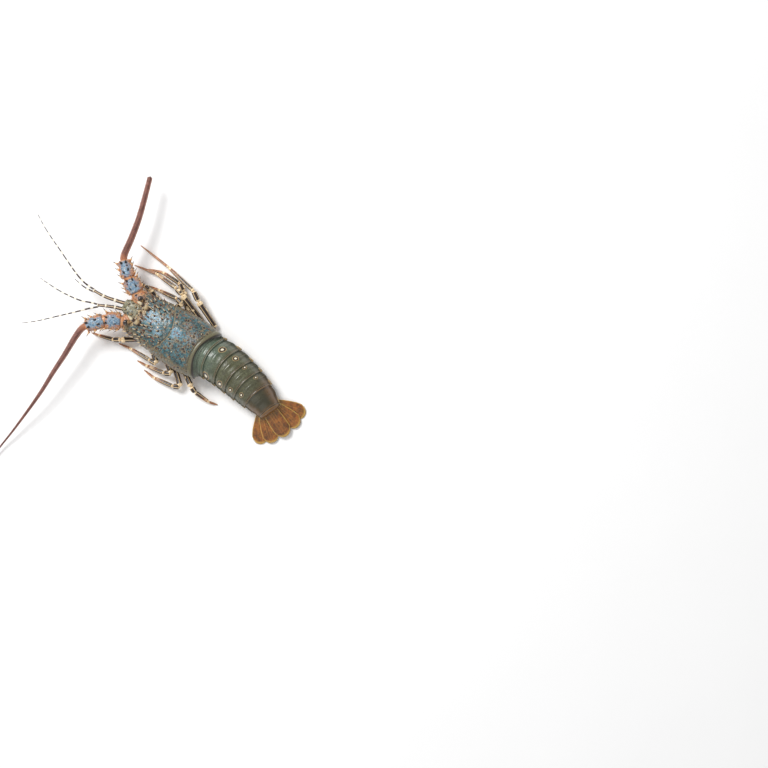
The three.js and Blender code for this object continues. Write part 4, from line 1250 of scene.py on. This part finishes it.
def swimmeretForms(index):
    edges = abdomenPiece["edges"]
    middle = (edges[index] + edges[index + 1]) / 2
    centre = float(smoothColumn(abdomenPiece["sections"], 1, middle))
    roof = 0.16 * float(smoothColumn(abdomenPiece["sections"], 3, middle))
    return [limbForm([centre + side * 9, middle - 3, roof + 1], [centre + side * 14, middle + 9, 1.2],
                     [[0, 2], [0.4, 3.6], [0.8, 3], [1, 0.8]], sides=20, rows=24, squash=0.35,
                     # side=1.0 darkens them all over with painted shade, as they hang in the shade under
                     # the body
                     line=abdomenPiece["noLine"], spot=abdomenPiece["noSpot"], corner=0.8, side=1.0,
                     aft=0.3) for side in (-1, 1)]


for index in range(6):
    node = f"abdomen_ring_{index + 1}"
    forms = [ringForm(index)]
    if index == 0:
        forms.append(collarForm())
    if 0 < index < 5:
        forms += swimmeretForms(index)
    buildPiece(f"abdomenRing_{index + 1}", forms, [node], "abdomen", "abdomen")
print("Abdomen made")


# Tail fan

tailPiece = {
    "end": 183, "edge": 0.9, "rib": 2.2, "rows": 60, "columns": 44,
    "telson": {"sideways": 0, "back": -4, "height": 19, "turn": 0, "length": 50, "rootWidth": 22,
               "endWidth": 26, "drop": 12.2, "camber": 0.5},
    "inner": {"sideways": 10, "back": -3, "height": 12.5, "turn": 0.27, "length": 48, "rootWidth": 13,
              "endWidth": 25, "drop": 9.3, "camber": 0.3},
    "outer": {"sideways": 13, "back": -5, "height": 8.5, "turn": 0.6, "length": 48, "rootWidth": 11,
              "endWidth": 25, "drop": 8, "camber": 0.3},
}


def bladeForm(blade, side):
    settings = tailPiece
    heading = tailHeading
    middle = float(smoothColumn(abdomenPiece["sections"], 1, settings["end"]))
    sideways, back = side * blade["sideways"], blade["back"]
    root = np.array([middle + sideways * math.cos(heading) + back * math.sin(heading),
                     settings["end"] - sideways * math.sin(heading) + back * math.cos(heading)])
    aim = heading + side * blade["turn"]
    forward = np.array([math.sin(aim), math.cos(aim)])
    across = np.array([math.cos(aim), -math.sin(aim)])
    t = np.linspace(0, 1, settings["rows"])[:, None]
    columns = settings["columns"]
    v = np.linspace(-1, 1, columns)[None]
    half = (blade["rootWidth"] + (blade["endWidth"] - blade["rootWidth"])
            * np.sin(np.minimum(1, t * 1.25) * math.pi / 2)) / 2
    reach = t * blade["length"] * (1 - 0.22 * np.abs(v) ** 2.5 * t ** 2)
    ribs = hump(np.abs(v), 0.3, 0.07) + hump(v, 0, 0.05)
    cord = 0.12 * np.cos(v * 26) * smoothStep(0.25, 0.6, t)
    thick = (settings["edge"] * (1 - 0.6 * smoothStep(0.9, 1, np.abs(v)))
             + (settings["rib"] - settings["edge"]) * (1 - np.abs(v)) * (1 - 0.6 * t))
    thick = thick * (1 - 0.55 * smoothStep(0.94, 1, t)) + 0.4 * ribs * (1 - t) + cord
    level = blade["height"] - blade["drop"] * t ** 0.8 - blade["camber"] * v * v
    flat = (root + forward * reach[..., None] + across * (v * half)[..., None])
    faces = [np.concatenate([flat, (level + face * thick / 2)[..., None]], axis=-1) for face in (1, -1)]
    grid = np.concatenate([faces[0], faces[1][:, ::-1]], axis=1)
    both = np.concatenate([v, v[:, ::-1]], axis=1)
    edge = np.maximum(smoothStep(0.86, 0.98, np.abs(both)), smoothStep(0.9, 0.985, t))
    share = t * np.ones_like(both)
    form = gridForm(grid, share=share, across=both * half / 13, edge=edge,
                    rib=np.concatenate([ribs, ribs[:, ::-1]], axis=1) * (1 - 0.8 * t))
    tips = grid[-1, 3:columns - 3]
    between = (tips[:-1] + tips[1:]) / 2
    hairs = []
    for roots, fall, length, radius, droop in ((tips, -0.08, 2.2, 0.11, -0.2),
                                               (between, -0.05, 1.8, 0.1, -0.1)):
        for k, root in enumerate(roots):
            lean = np.append(forward, fall) + np.append(across, 0) * 0.35 * v[0, 3 + k]
            hairs.append([root, lean, length, radius, [0, 0, droop]])
    return form, hairs


form, hairs = bladeForm(tailPiece["telson"], 1)
buildPiece("telson_plate", [form], ["telson"], "tail_fan", "fan")
growSpines("telson_fringe", hairs, ["telson"], "tail_fan", "hair", steps=3, **fineHair)
for name, side in sideSigns.items():
    for part in ("inner", "outer"):
        node = f"uropod_{part}_{name}"
        form, hairs = bladeForm(tailPiece[part], side)
        buildPiece(f"uropod_{part}_{name}_plate", [form], [node], "tail_fan", "fan")
        growSpines(f"uropod_{part}_{name}_fringe", hairs, [node], "tail_fan", "hair",
                   steps=3, **fineHair)
print("Tail fan made")


# Front plate

frontPlate = {
    "sections": [[-80, 8.5, 39, 29], [-72, 11.5, 43, 24], [-60, 13, 44, 21], [-46, 14, 43, 22]],
    "spines": [[-6, -60, 7], [6, -60, 7], [-5, -72, 5.5], [5, -72, 5.5]],
    "front": -80, "rear": -47, "boxiness": 0.6, "smallSpines": 46,
    "granules": {"Spacing": 1.7 * mm, "Smallest": 0.3 * mm, "Largest": 0.7 * mm, "Height": 0.8,
                 "Seed": 15},
}


def frontPlateForm():
    along = np.linspace(frontPlate["front"], frontPlate["rear"], 80)[:, None]
    turn = (np.arange(96) / 96 * 2 * math.pi)[None]
    half = smoothColumn(frontPlate["sections"], 1, along)
    top = smoothColumn(frontPlate["sections"], 2, along)
    low = smoothColumn(frontPlate["sections"], 3, along)
    inset = np.clip((along - frontPlate["front"]) / 5, 0.01, 1)
    rounding = np.sqrt(1 - (1 - inset) ** 2) * 0.25 + 0.75
    cosine, sine = (np.sign(part) * np.abs(part) ** frontPlate["boxiness"]
                    for part in (np.cos(turn), np.sin(turn)))
    x = cosine * half * rounding
    z = (top + low) / 2 + sine * (top - low) / 2 * rounding
    grid = np.stack([x, along * np.ones_like(x), z], axis=-1)
    valley = hump(grid[..., 0], 0, 2.2) * (np.sin(turn) > 0)
    relief = 0.4 * softNoise(grid, 3.0, 21) + 0.25 * softNoise(grid, 1.3, 22) - 0.8 * valley
    grid = grid + gridNormals(grid) * relief[..., None]
    rough = smoothStep(0.1, 0.4, np.sin(turn)) * np.ones_like(x)
    return gridForm(grid, rough=rough)


plate = frontPlateForm()
plateSpines = [[[x, y, 43], [0.2 * math.copysign(1, x), -0.5, 1], length, 1.9, [0, -1.2, 0]]
               for x, y, length in frontPlate["spines"]]
chance = np.random.default_rng(12)
for _ in range(frontPlate["smallSpines"]):
    x, y = chance.uniform(-10, 10), chance.uniform(-78, -57)
    if min(math.hypot(x - s[0], y - s[1]) for s in frontPlate["spines"]) > 2.6:
        plateSpines.append([[x, y, 42.9 if y > -74 else 41.5], [0.05 * x, -0.6, 1],
                            chance.uniform(1.2, 2.6), chance.uniform(0.6, 0.95), [0, -0.3, 0]])
buildPiece("frontPlate", [plate], ["front_plate"], "front_plate", "plate")
growSpines("frontPlateSpines", plateSpines, ["front_plate"], "front_plate", "shellSpine")
growGranules("frontPlateGranules", plate, ["front_plate"], "front_plate", "granule",
             **frontPlate["granules"])
print("Front plate made")


# Antennae

antennaPiece = {
    "right": {
        "joints": [[-15, -54, 31], [-24, -72, 35], [-36.5, -93, 39], [-55, -114.5, 40]],
        "feeler": [[-53.5, -113, 40], [-60, -116.4, 40], [-88.8, -121.3, 39.5], [-117.9, -127.4, 39],
                   [-144.2, -135.2, 38], [-179.8, -147, 36]],
        "radii": [[0, 4.9], [1, 3.6]], "nodes": ["antenna_right"],
        "stem": [[-3.5, -74, 35], [1.5, -92, 36], [5.5, -110, 35.5], [6.7, -129.9, 34]],
        "whips": [[[5.2, -128, 34], [4.8, -143, 32.5], [1.7, -158.6, 30], [-16.7, -205.7, 22],
                   [-32.2, -244.2, 13], [-44.5, -268.6, 5]],
                  [[8.4, -128, 34], [10, -142, 32], [7.5, -163, 29]]],
    },
    "left": {
        "joints": [[15, -54, 31], [23.5, -69, 35], [35, -91, 39], [57.5, -110, 40]],
        "feeler": [[56, -109.5, 40], [64, -112.6, 40], [76.9, -113.9, 39], [109.8, -113.8, 37],
                   [141, -115, 34], [171.6, -115.6, 30], [200.3, -117.9, 25], [226.1, -121, 19],
                   [253, -124.5, 13], [280.7, -128.6, 8], [335, -133, 3.4], [390, -131, 1]],
        "radii": [[0, 4.9], [0.25, 3.4], [0.59, 1.6], [1, 0.4]],
        "nodes": ["antenna_left_1", "antenna_left_2", "antenna_left_3"],
        "stem": [[5.5, -74, 35], [13.5, -95, 35.5], [22.3, -113.1, 34]],
        "whips": [[[23.6, -110.5, 34], [33, -121, 31.5], [48.8, -136.5, 28], [67.9, -156.6, 20],
                   [92.4, -182.3, 11], [107.5, -201.2, 4]],
                  [[20.4, -111.5, 33.5], [24.5, -124, 31], [30, -138.9, 28], [35, -174.3, 17],
                   [35.3, -212.5, 5]]],
    },
    "profiles": [[[0, 12], [0.5, 13.5], [1, 11.5]],
                 [[0, 10.5], [0.2, 12.6], [0.8, 12.6], [1, 10.4]],
                 [[0, 9.8], [0.2, 10.8], [0.75, 9.6], [0.92, 8.6], [1, 6.8]]],
    "knuckles": [9.5, 8.2],    # the soft joints between the segments
    "squash": 0.8, "spineRows": [[-1, 3], [-0.35, 2], [0.35, 2], [1, 3]],    # place across, count
    "smallSpines": [30, 60, 46],    # on each segment
    "feelerMesh": {"Step": 0.35 * mm, "Ring spacing": feelerLook["ringSpacing"] * mm,
                   "Ring depth": 0.09, "Sides": 18},
    "whipMesh": {"Step": 0.3 * mm, "Ring spacing": 1.2 * mm, "Ring depth": 0.14, "Sides": 10},
    "whipTip": 0.38, "whipGirth": 0.92, "whipTaper": 0.8,
}


def baseSegmentForm(start, end, number):
    form = limbForm(start, end, antennaPiece["profiles"][number], sides=64, rows=60,
                    squash=antennaPiece["squash"], rounding=0.3, relief=0.6, seed=30 + number)
    marks = form["marks"]
    away = np.hypot((marks["share"] - 0.52) / 0.6, marks["flank"] / 0.92)
    marks["blue"] = np.clip(1.4 - away, 0, 1) * (marks["top"] > 0) * (1 if number else 0.3)
    marks["collar"] = smoothStep(0.88, 0.96, marks["share"]) if number == 2 else marks["share"] * 0
    marks["rough"] = smoothStep(-0.2, 0.3, marks["top"])
    return form


def limbFrame(start, end):    # where a limb starts, its whole run, and the level way across it
    start = np.asarray(start, float)
    run = np.asarray(end, float) - start
    return start, run, unit([run[1], -run[0], 0])


def baseSpines(start, end, radius, side, draw):
    start, axis, across = limbFrame(start, end)
    across = -side * across
    up = np.array([0, 0, 1.0])
    dark, pale = [], []
    for lean, count in antennaPiece["spineRows"]:
        for k in range(count):
            share = (k + 0.7 + 0.3 * (next(draw) - 0.5)) / count
            rise = math.sqrt(1 - lean * lean * 0.94)
            root = (start + axis * min(share, 0.92) + across * lean * radius * 0.96
                    + up * rise * radius * antennaPiece["squash"] * 0.96)
            direction = across * lean + up * rise + axis * 0.8 / np.linalg.norm(axis)
            edge = abs(lean) == 1
            length = (6.0 if edge else 3.6) + 1.5 * next(draw)
            sweep = unit(axis) * 0.18 * length
            (pale if edge else dark).append([root, direction, length, 1.9 if edge else 2.1, sweep])
    return dark, pale


def extraBaseSpines(start, end, radius, side, chance, count):
    start, axis, across = limbFrame(start, end)
    across = -side * across
    spines = []
    for _ in range(count):
        turn = chance.uniform(-0.35, math.pi + 0.35)
        if 0.9 < turn < math.pi - 0.9:
            continue
        out = across * math.cos(turn) + np.array([0, 0, math.sin(turn) * antennaPiece["squash"]])
        root = start + axis * chance.uniform(0.08, 0.9) + out * radius * 0.97
        length = chance.uniform(1.4, 3.4)
        spines.append([root, out + unit(axis) * 0.7, length, 0.5 + 0.18 * length,
                       unit(axis) * 0.15 * length])
    return spines


def feelerRadii(path, table):
    share = np.linspace(0, 1, len(path))
    return smoothColumn(table, 1, share) * np.sqrt(np.clip((1 - share) / 0.02, 0.04, 1))


def feelerSpines(path, radii, chance):    # four rows of spinules that point towards the tip
    axis = unit(np.gradient(path, axis=0))
    spines = []
    for k in range(2, len(path) - 2):
        if radii[k] < 0.9:
            break
        across = unit([axis[k][1], -axis[k][0], 0])
        upward = np.cross(across, axis[k])
        for turn in np.radians([20, 90, 160, 270]):
            turn = turn + chance.uniform(-0.2, 0.2)
            out = across * math.cos(turn) + upward * math.sin(turn)
            spines.append([path[k] + out * radii[k] * 0.97, out + axis[k] * 1.3,
                           0.35 * radii[k] + 0.25, 0.09 * radii[k] + 0.1, [0, 0, 0]])
    return spines


def stemForm(points):    # three segments, swollen at the joints
    path = smoothPath(points, 90)
    share = np.linspace(0, 1, 90)
    joints = sum(hump(share, place, 0.03) for place in (0.36, 0.68, 0.985))
    radii = 2.9 + (2 - 2.9) * share - 0.5 * sum(hump(share, place, 0.02) for place in (0.4, 0.72))
    radii = radii + 0.45 * joints
    radii = radii * np.sqrt(np.clip((1 - share) / 0.015, 0.01, 1))
    return tubeForm(path, radii, sides=24, relief=0.1, seed=40, joint=np.clip(joints, 0, 1)[:, None])


for name, side in sideSigns.items():
    settings = antennaPiece[name]
    joints = settings["joints"]
    draw = seededDraws(21 if side > 0 else 37)
    chance = np.random.default_rng(51 + side)
    node = ["antenna_base_" + name]
    segments = [baseSegmentForm(joints[k], joints[k + 1], k) for k in range(3)]
    for k, reach in enumerate(antennaPiece["knuckles"]):
        reach = reach * np.array([1, 1, antennaPiece["squash"]])
        segments.append(ballForm(joints[k + 1], reach, rings=24, sides=36, collar=0.8, blue=0.0))
    dark, pale = [], []
    for k in (1, 2):
        found = baseSpines(joints[k], joints[k + 1], antennaPiece["profiles"][k][1][1], side, draw)
        dark += found[0]
        pale += found[1]
    for k, count in enumerate(antennaPiece["smallSpines"]):
        pale += extraBaseSpines(joints[k], joints[k + 1], antennaPiece["profiles"][k][1][1], side,
                                chance, count)
    buildPiece("antennaBase_" + name, segments, node, "antenna_base", "base")
    growSpines(f"antennaBase_{name}_darkSpines", dark, node, "antenna_base", "baseSpine")
    growSpines(f"antennaBase_{name}_edgeSpines", pale, node, "antenna_base", "edgeSpine")

    path = smoothPath(settings["feeler"], 150)
    radii = feelerRadii(path, settings["radii"])
    growFeeler("feeler_" + name, path, radii, settings["nodes"], "antenna", "feeler",
               **antennaPiece["feelerMesh"])
    growSpines(f"feeler_{name}_spinules", feelerSpines(path, radii, chance), settings["nodes"],
               "antenna", "feeler", sides=5, steps=2)

    buildPiece("antennuleBase_" + name, [stemForm(settings["stem"])], ["antennule_base_" + name],
               "antennule", "stem")
    for k, points in enumerate(settings["whips"]):
        path = smoothPath(points, 120)
        fade = (1 - np.linspace(0, 1, 120)) ** antennaPiece["whipTaper"]
        radii = antennaPiece["whipTip"] + antennaPiece["whipGirth"] * fade
        growFeeler(f"antennule_{name}_{k + 1}_whip", path, radii, [f"antennule_{name}_{k + 1}"],
                   "antennule", "antennule", **antennaPiece["whipMesh"])
print("Antennae made")


# Eyes

eyePiece = {
    "radii": [4.5, 3.7, 4.1], "collarRadii": [3.9, 3.5, 3.7], "collarShift": [-1.6, 1.4, -0.9],
    "stalk": [[0, 2.8], [0.75, 2.6], [1, 3.5]], "stalkStart": [11, -52, 46], "stalkEnd": [19, -59, 50.4],
}
for name, side in sideSigns.items():
    flip = np.array([side, 1, 1])
    ball = ballForm(eyePlace * flip, eyePiece["radii"], rings=40, sides=48, stalk=0.0)
    stalk = limbForm(eyePiece["stalkStart"] * flip, eyePiece["stalkEnd"] * flip, eyePiece["stalk"],
                     stalk=1.0)
    collar = ballForm((eyePlace + eyePiece["collarShift"]) * flip, eyePiece["collarRadii"], stalk=1.0)
    buildPiece("eye_" + name + "_ball", [ball, stalk, collar], ["eye_" + name], "eye", "eye")
print("Eyes made")


# Legs

legPiece = {
    "left": [
        [[15, -34, 9], [31, -35, 8], [48, -59, 20], [54, -69, 16], [61, -93, 6], [64, -105, 0.6]],
        [[16, -18, 9], [32, -18, 8], [50.5, 4, 17], [51, -7, 14], [52.5, -42, 7], [56, -62, 0.6]],
        [[17, -2, 9], [35, 6, 8], [51, 31, 18], [56, 21, 15], [61.5, -9, 6], [63, -25, 0.6]],
        [[18, 15, 9], [37, 24, 7.5], [61, 52, 12], [66, 42, 12], [71, 10, 6], [69.3, -9, 0.6]],
        [[19, 31, 9], [35, 39, 7.5], [52, 66, 15], [56, 75, 12], [58, 99, 5], [55, 112, 0.6]]],
    "right": [
        [[-15, -34, 9], [-29, -38, 8], [-37, -62, 14], [-38, -72, 12], [-36, -91, 6], [-33, -103, 0.6]],
        [[-16, -18, 9], [-31, -19, 8], [-46, -10, 22], [-48, -21, 19], [-44, -53, 7], [-41, -70, 0.6]],
        [[-17, -2, 9], [-35, 6, 7.5], [-62, -20, 7.5], [-69, -32, 8], [-69.5, -62, 6], [-62, -84, 0.6]],
        [[-18, 15, 9], [-38, 30, 8], [-57, -17, 21], [-60.5, -30, 19], [-63, -68, 9], [-56, -105, 0.6]],
        [[-19, 31, 9], [-42, 49, 8], [-61, 8, 17], [-70.5, -6, 20], [-80.5, -58, 10],
         [-86, -113, 0.6]]],
    "hip": [[0, 6], [0.4, 5.6], [0.75, 4.4], [1, 3.8]],
    "thigh": [[0, 3.3], [0.15, 3.8], [0.75, 4.2], [0.92, 4.6], [1, 3.6]],
    "knee": [[0, 3], [0.3, 4], [0.85, 3.9], [1, 2.8]],
    "shin": [[0, 2.7], [0.2, 3.2], [0.8, 2.7], [1, 2]],
    "foot": [[0, 1.9], [0.5, 1.8], [1, 0.6]],
    "distal": {"hip": [0.4, 0.1], "thigh": [0, 0], "knee": [0, 0.1], "shin": [0.1, 0.75],
               "foot": [0.75, 1.0]},    # how far each is towards the warm colours of the foot
    "squash": {"hip": 0.8, "thigh": 0.85, "knee": 0.9, "shin": 0.85, "foot": 1.0},
    "footHairs": 70, "hairClearance": 1.2,    # how high the lowest hair's root is
}


def legSegment(part, start, end, spotted):
    form = limbForm(start, end, legPiece[part], squash=legPiece["squash"][part], relief=0.14,
                    seed=len(part) * 7, rounding=0.6, sides=26, rows=44)
    marks = form["marks"]
    head = smoothStep(0.34 if part == "knee" else 0.12, 0.02, marks["share"])
    foot = smoothStep(0.78 if part == "thigh" else 0.86, 0.95, marks["share"])
    marks["joint"] = np.clip(head + foot, 0, 1) * (0.35 + 0.65 * smoothStep(-0.3, 0.2, marks["top"]))
    if part in ("hip", "foot"):
        marks["joint"] = 0.8 * head
    start, end = legPiece["distal"][part]
    marks["distal"] = start + (end - start) * marks["share"]
    marks["spotted"] = np.full(len(form["points"]), spotted)
    return form


def footHairs(start, end, chance):
    start, axis, _ = limbFrame(start, end)
    hairs = []
    for _ in range(legPiece["footHairs"]):
        share = chance.uniform(0.05, 0.92)
        turn = chance.uniform(0, 2 * math.pi)
        out = np.array([math.cos(turn) * 0.7, math.cos(turn) * -0.2, math.sin(turn)])
        radius = float(smoothColumn(legPiece["foot"], 1, share))
        root = start + axis * share + unit(out) * radius * 0.85
        if root[2] > legPiece["hairClearance"]:
            hairs.append([root, unit(axis) * 1.6 + out, chance.uniform(1.2, 2.2), 0.1, [0, 0, 0]])
    return hairs


def thighSpines(start, end):    # a few small spines where a thigh meets its knee
    start, axis, across = limbFrame(start, end)
    end, axis = start + axis, unit(axis)
    return [[end - axis * 3.2 + out * 3.9, axis + out * 0.5, 2.6, 0.9, [0, 0, 0]]
            for out in (np.array([0, 0, 0.9]), across * 0.95, -across * 0.95)]


chance = np.random.default_rng(77)
for name in sideSigns:
    for k, (hip, thigh, knee, wrist, ankle, tip) in enumerate(legPiece[name]):
        label = f"leg_{name}_{k + 1}"
        upper = [legSegment("hip", hip, thigh, 0.3), legSegment("thigh", thigh, knee, 0.9)]
        lower = [legSegment("knee", knee, wrist, 1.0), legSegment("shin", wrist, ankle, 0.4),
                 legSegment("foot", ankle, tip, 0.0)]
        buildPiece(label + "_thigh", upper, [label + "_upper"], "leg", "leg")
        growSpines(label + "_spines", thighSpines(thigh, knee), [label + "_upper"], "leg",
                   "legSpine")
        buildPiece(label + "_shin", lower, [label + "_lower"], "leg_end", "legEnd")
        growSpines(label + "_hairs", footHairs(ankle, tip, chance), [label + "_lower"], "leg_end",
                   "hair", steps=2, **fineHair)
jawPiece = {
    "segments": [    # start, end, profile, warmth
        [[9, -34, 5], [12, -52, 6], [[0, 3], [0.5, 4.2], [1, 3]], 0.8],
        [[12, -51, 6], [9, -66, 9], [[0, 3], [0.5, 3.4], [1, 2.4]], 0.8],
        [[9.3, -65, 9], [4.5, -73, 13], [[0, 2.4], [0.6, 2.2], [1, 0.8]], 0.9]],
    "hairs": 160, "hairsFrom": [10.5, -53, 6.4], "hairsTo": [6, -72, 11.5], "hairsInset": 2.2,
}
for name, side in sideSigns.items():
    flip = np.array([side, 1, 1])
    jaw = [limbForm(start * flip, end * flip, profile, distal=warmth)
           for start, end, profile, warmth in jawPiece["segments"]]
    buildPiece(f"maxilliped_{name}_foot", jaw, ["maxilliped_" + name], "leg", "legEnd")
    hairs = []
    for _ in range(jawPiece["hairs"]):
        share = chance.uniform(0, 1)
        root = (jawPiece["hairsFrom"] * flip * (1 - share) + jawPiece["hairsTo"] * flip * share
                - [side * jawPiece["hairsInset"], 0, 0])
        lean = np.array([-side * chance.uniform(0.5, 1.4), -chance.uniform(0, 0.6),
                         chance.uniform(-0.5, 0.5)])
        hairs.append([root, lean, chance.uniform(1.6, 3), 0.11, [0, -0.4, 0]])
    growSpines(f"maxilliped_{name}_hairs", hairs, ["maxilliped_" + name], "leg", "hair",
               steps=2, **fineHair)
print("Legs made")


# Table, lights and camera

stage = {
    "floor": seen(250, 250, 250), "floorShade": seen(247, 247, 247), "constants": {"Roughness": 0.7},
    "floorSize": 9.0, "floorLevel": -0.0003, "world": 0.56,
    "cameraPlace": [-0.1044, 0.3067, 1.920], "cameraTurn": 122.18, "lens": 60.0,
    "lampAim": [0.02, 0.0, 0.03],
    "key": {"place": [-0.5, -1.6, 2.3], "size": 1.0, "power": 64.0},
    "fill": {"place": [1.6, 1.0, 2.4], "size": 2.6, "power": 12.0},
}


def addFloor():
    half = stage["floorSize"] / 2
    corners = [[x * half, y * half, stage["floorLevel"]] for x, y in ((-1, -1), (1, -1), (1, 1), (-1, 1))]
    mesh = bpy.data.meshes.new("floor")
    mesh.from_pydata(corners, [], [(0, 1, 2, 3)])
    floor = bpy.data.objects.new("floor", mesh)
    bpy.context.scene.collection.objects.link(floor)
    paint = Painter("floorFinish", stage)
    paint.start(noise(paint.place, 6.0), "floor", "floorShade")
    feed(paint.shader, {"Base Color": paint.colour})
    mesh.materials.append(paint.material)


def addLamp(name, settings):
    lamp = bpy.data.lights.new(name, "AREA")
    lamp.size = settings["size"]
    lamp.energy = settings["power"]
    holder = bpy.data.objects.new(name, lamp)
    holder.location = settings["place"]
    aim = np.array(stage["lampAim"]) - np.array(settings["place"])
    holder.rotation_euler = (
        math.atan2(math.hypot(aim[0], aim[1]), -aim[2]), 0, math.atan2(aim[1], aim[0]) - math.pi / 2)
    bpy.context.scene.collection.objects.link(holder)


def addCamera():
    camera = bpy.data.objects.new("camera", bpy.data.cameras.new("camera"))
    camera.data.lens = stage["lens"]
    camera.location = stage["cameraPlace"]
    camera.rotation_euler = (0, 0, math.radians(stage["cameraTurn"]))
    bpy.context.scene.collection.objects.link(camera)
    bpy.context.scene.camera = camera


addFloor()
addLamp("keyLight", stage["key"])
addLamp("fillLight", stage["fill"])
addCamera()
world = bpy.data.worlds.new("studio")
world.use_nodes = True
world.node_tree.nodes["Background"].inputs["Color"].default_value = (1, 1, 1, 1)
world.node_tree.nodes["Background"].inputs["Strength"].default_value = stage["world"]
bpy.context.scene.world = world
bpy.context.scene.view_settings.view_transform = "Standard"
print("Stage set")
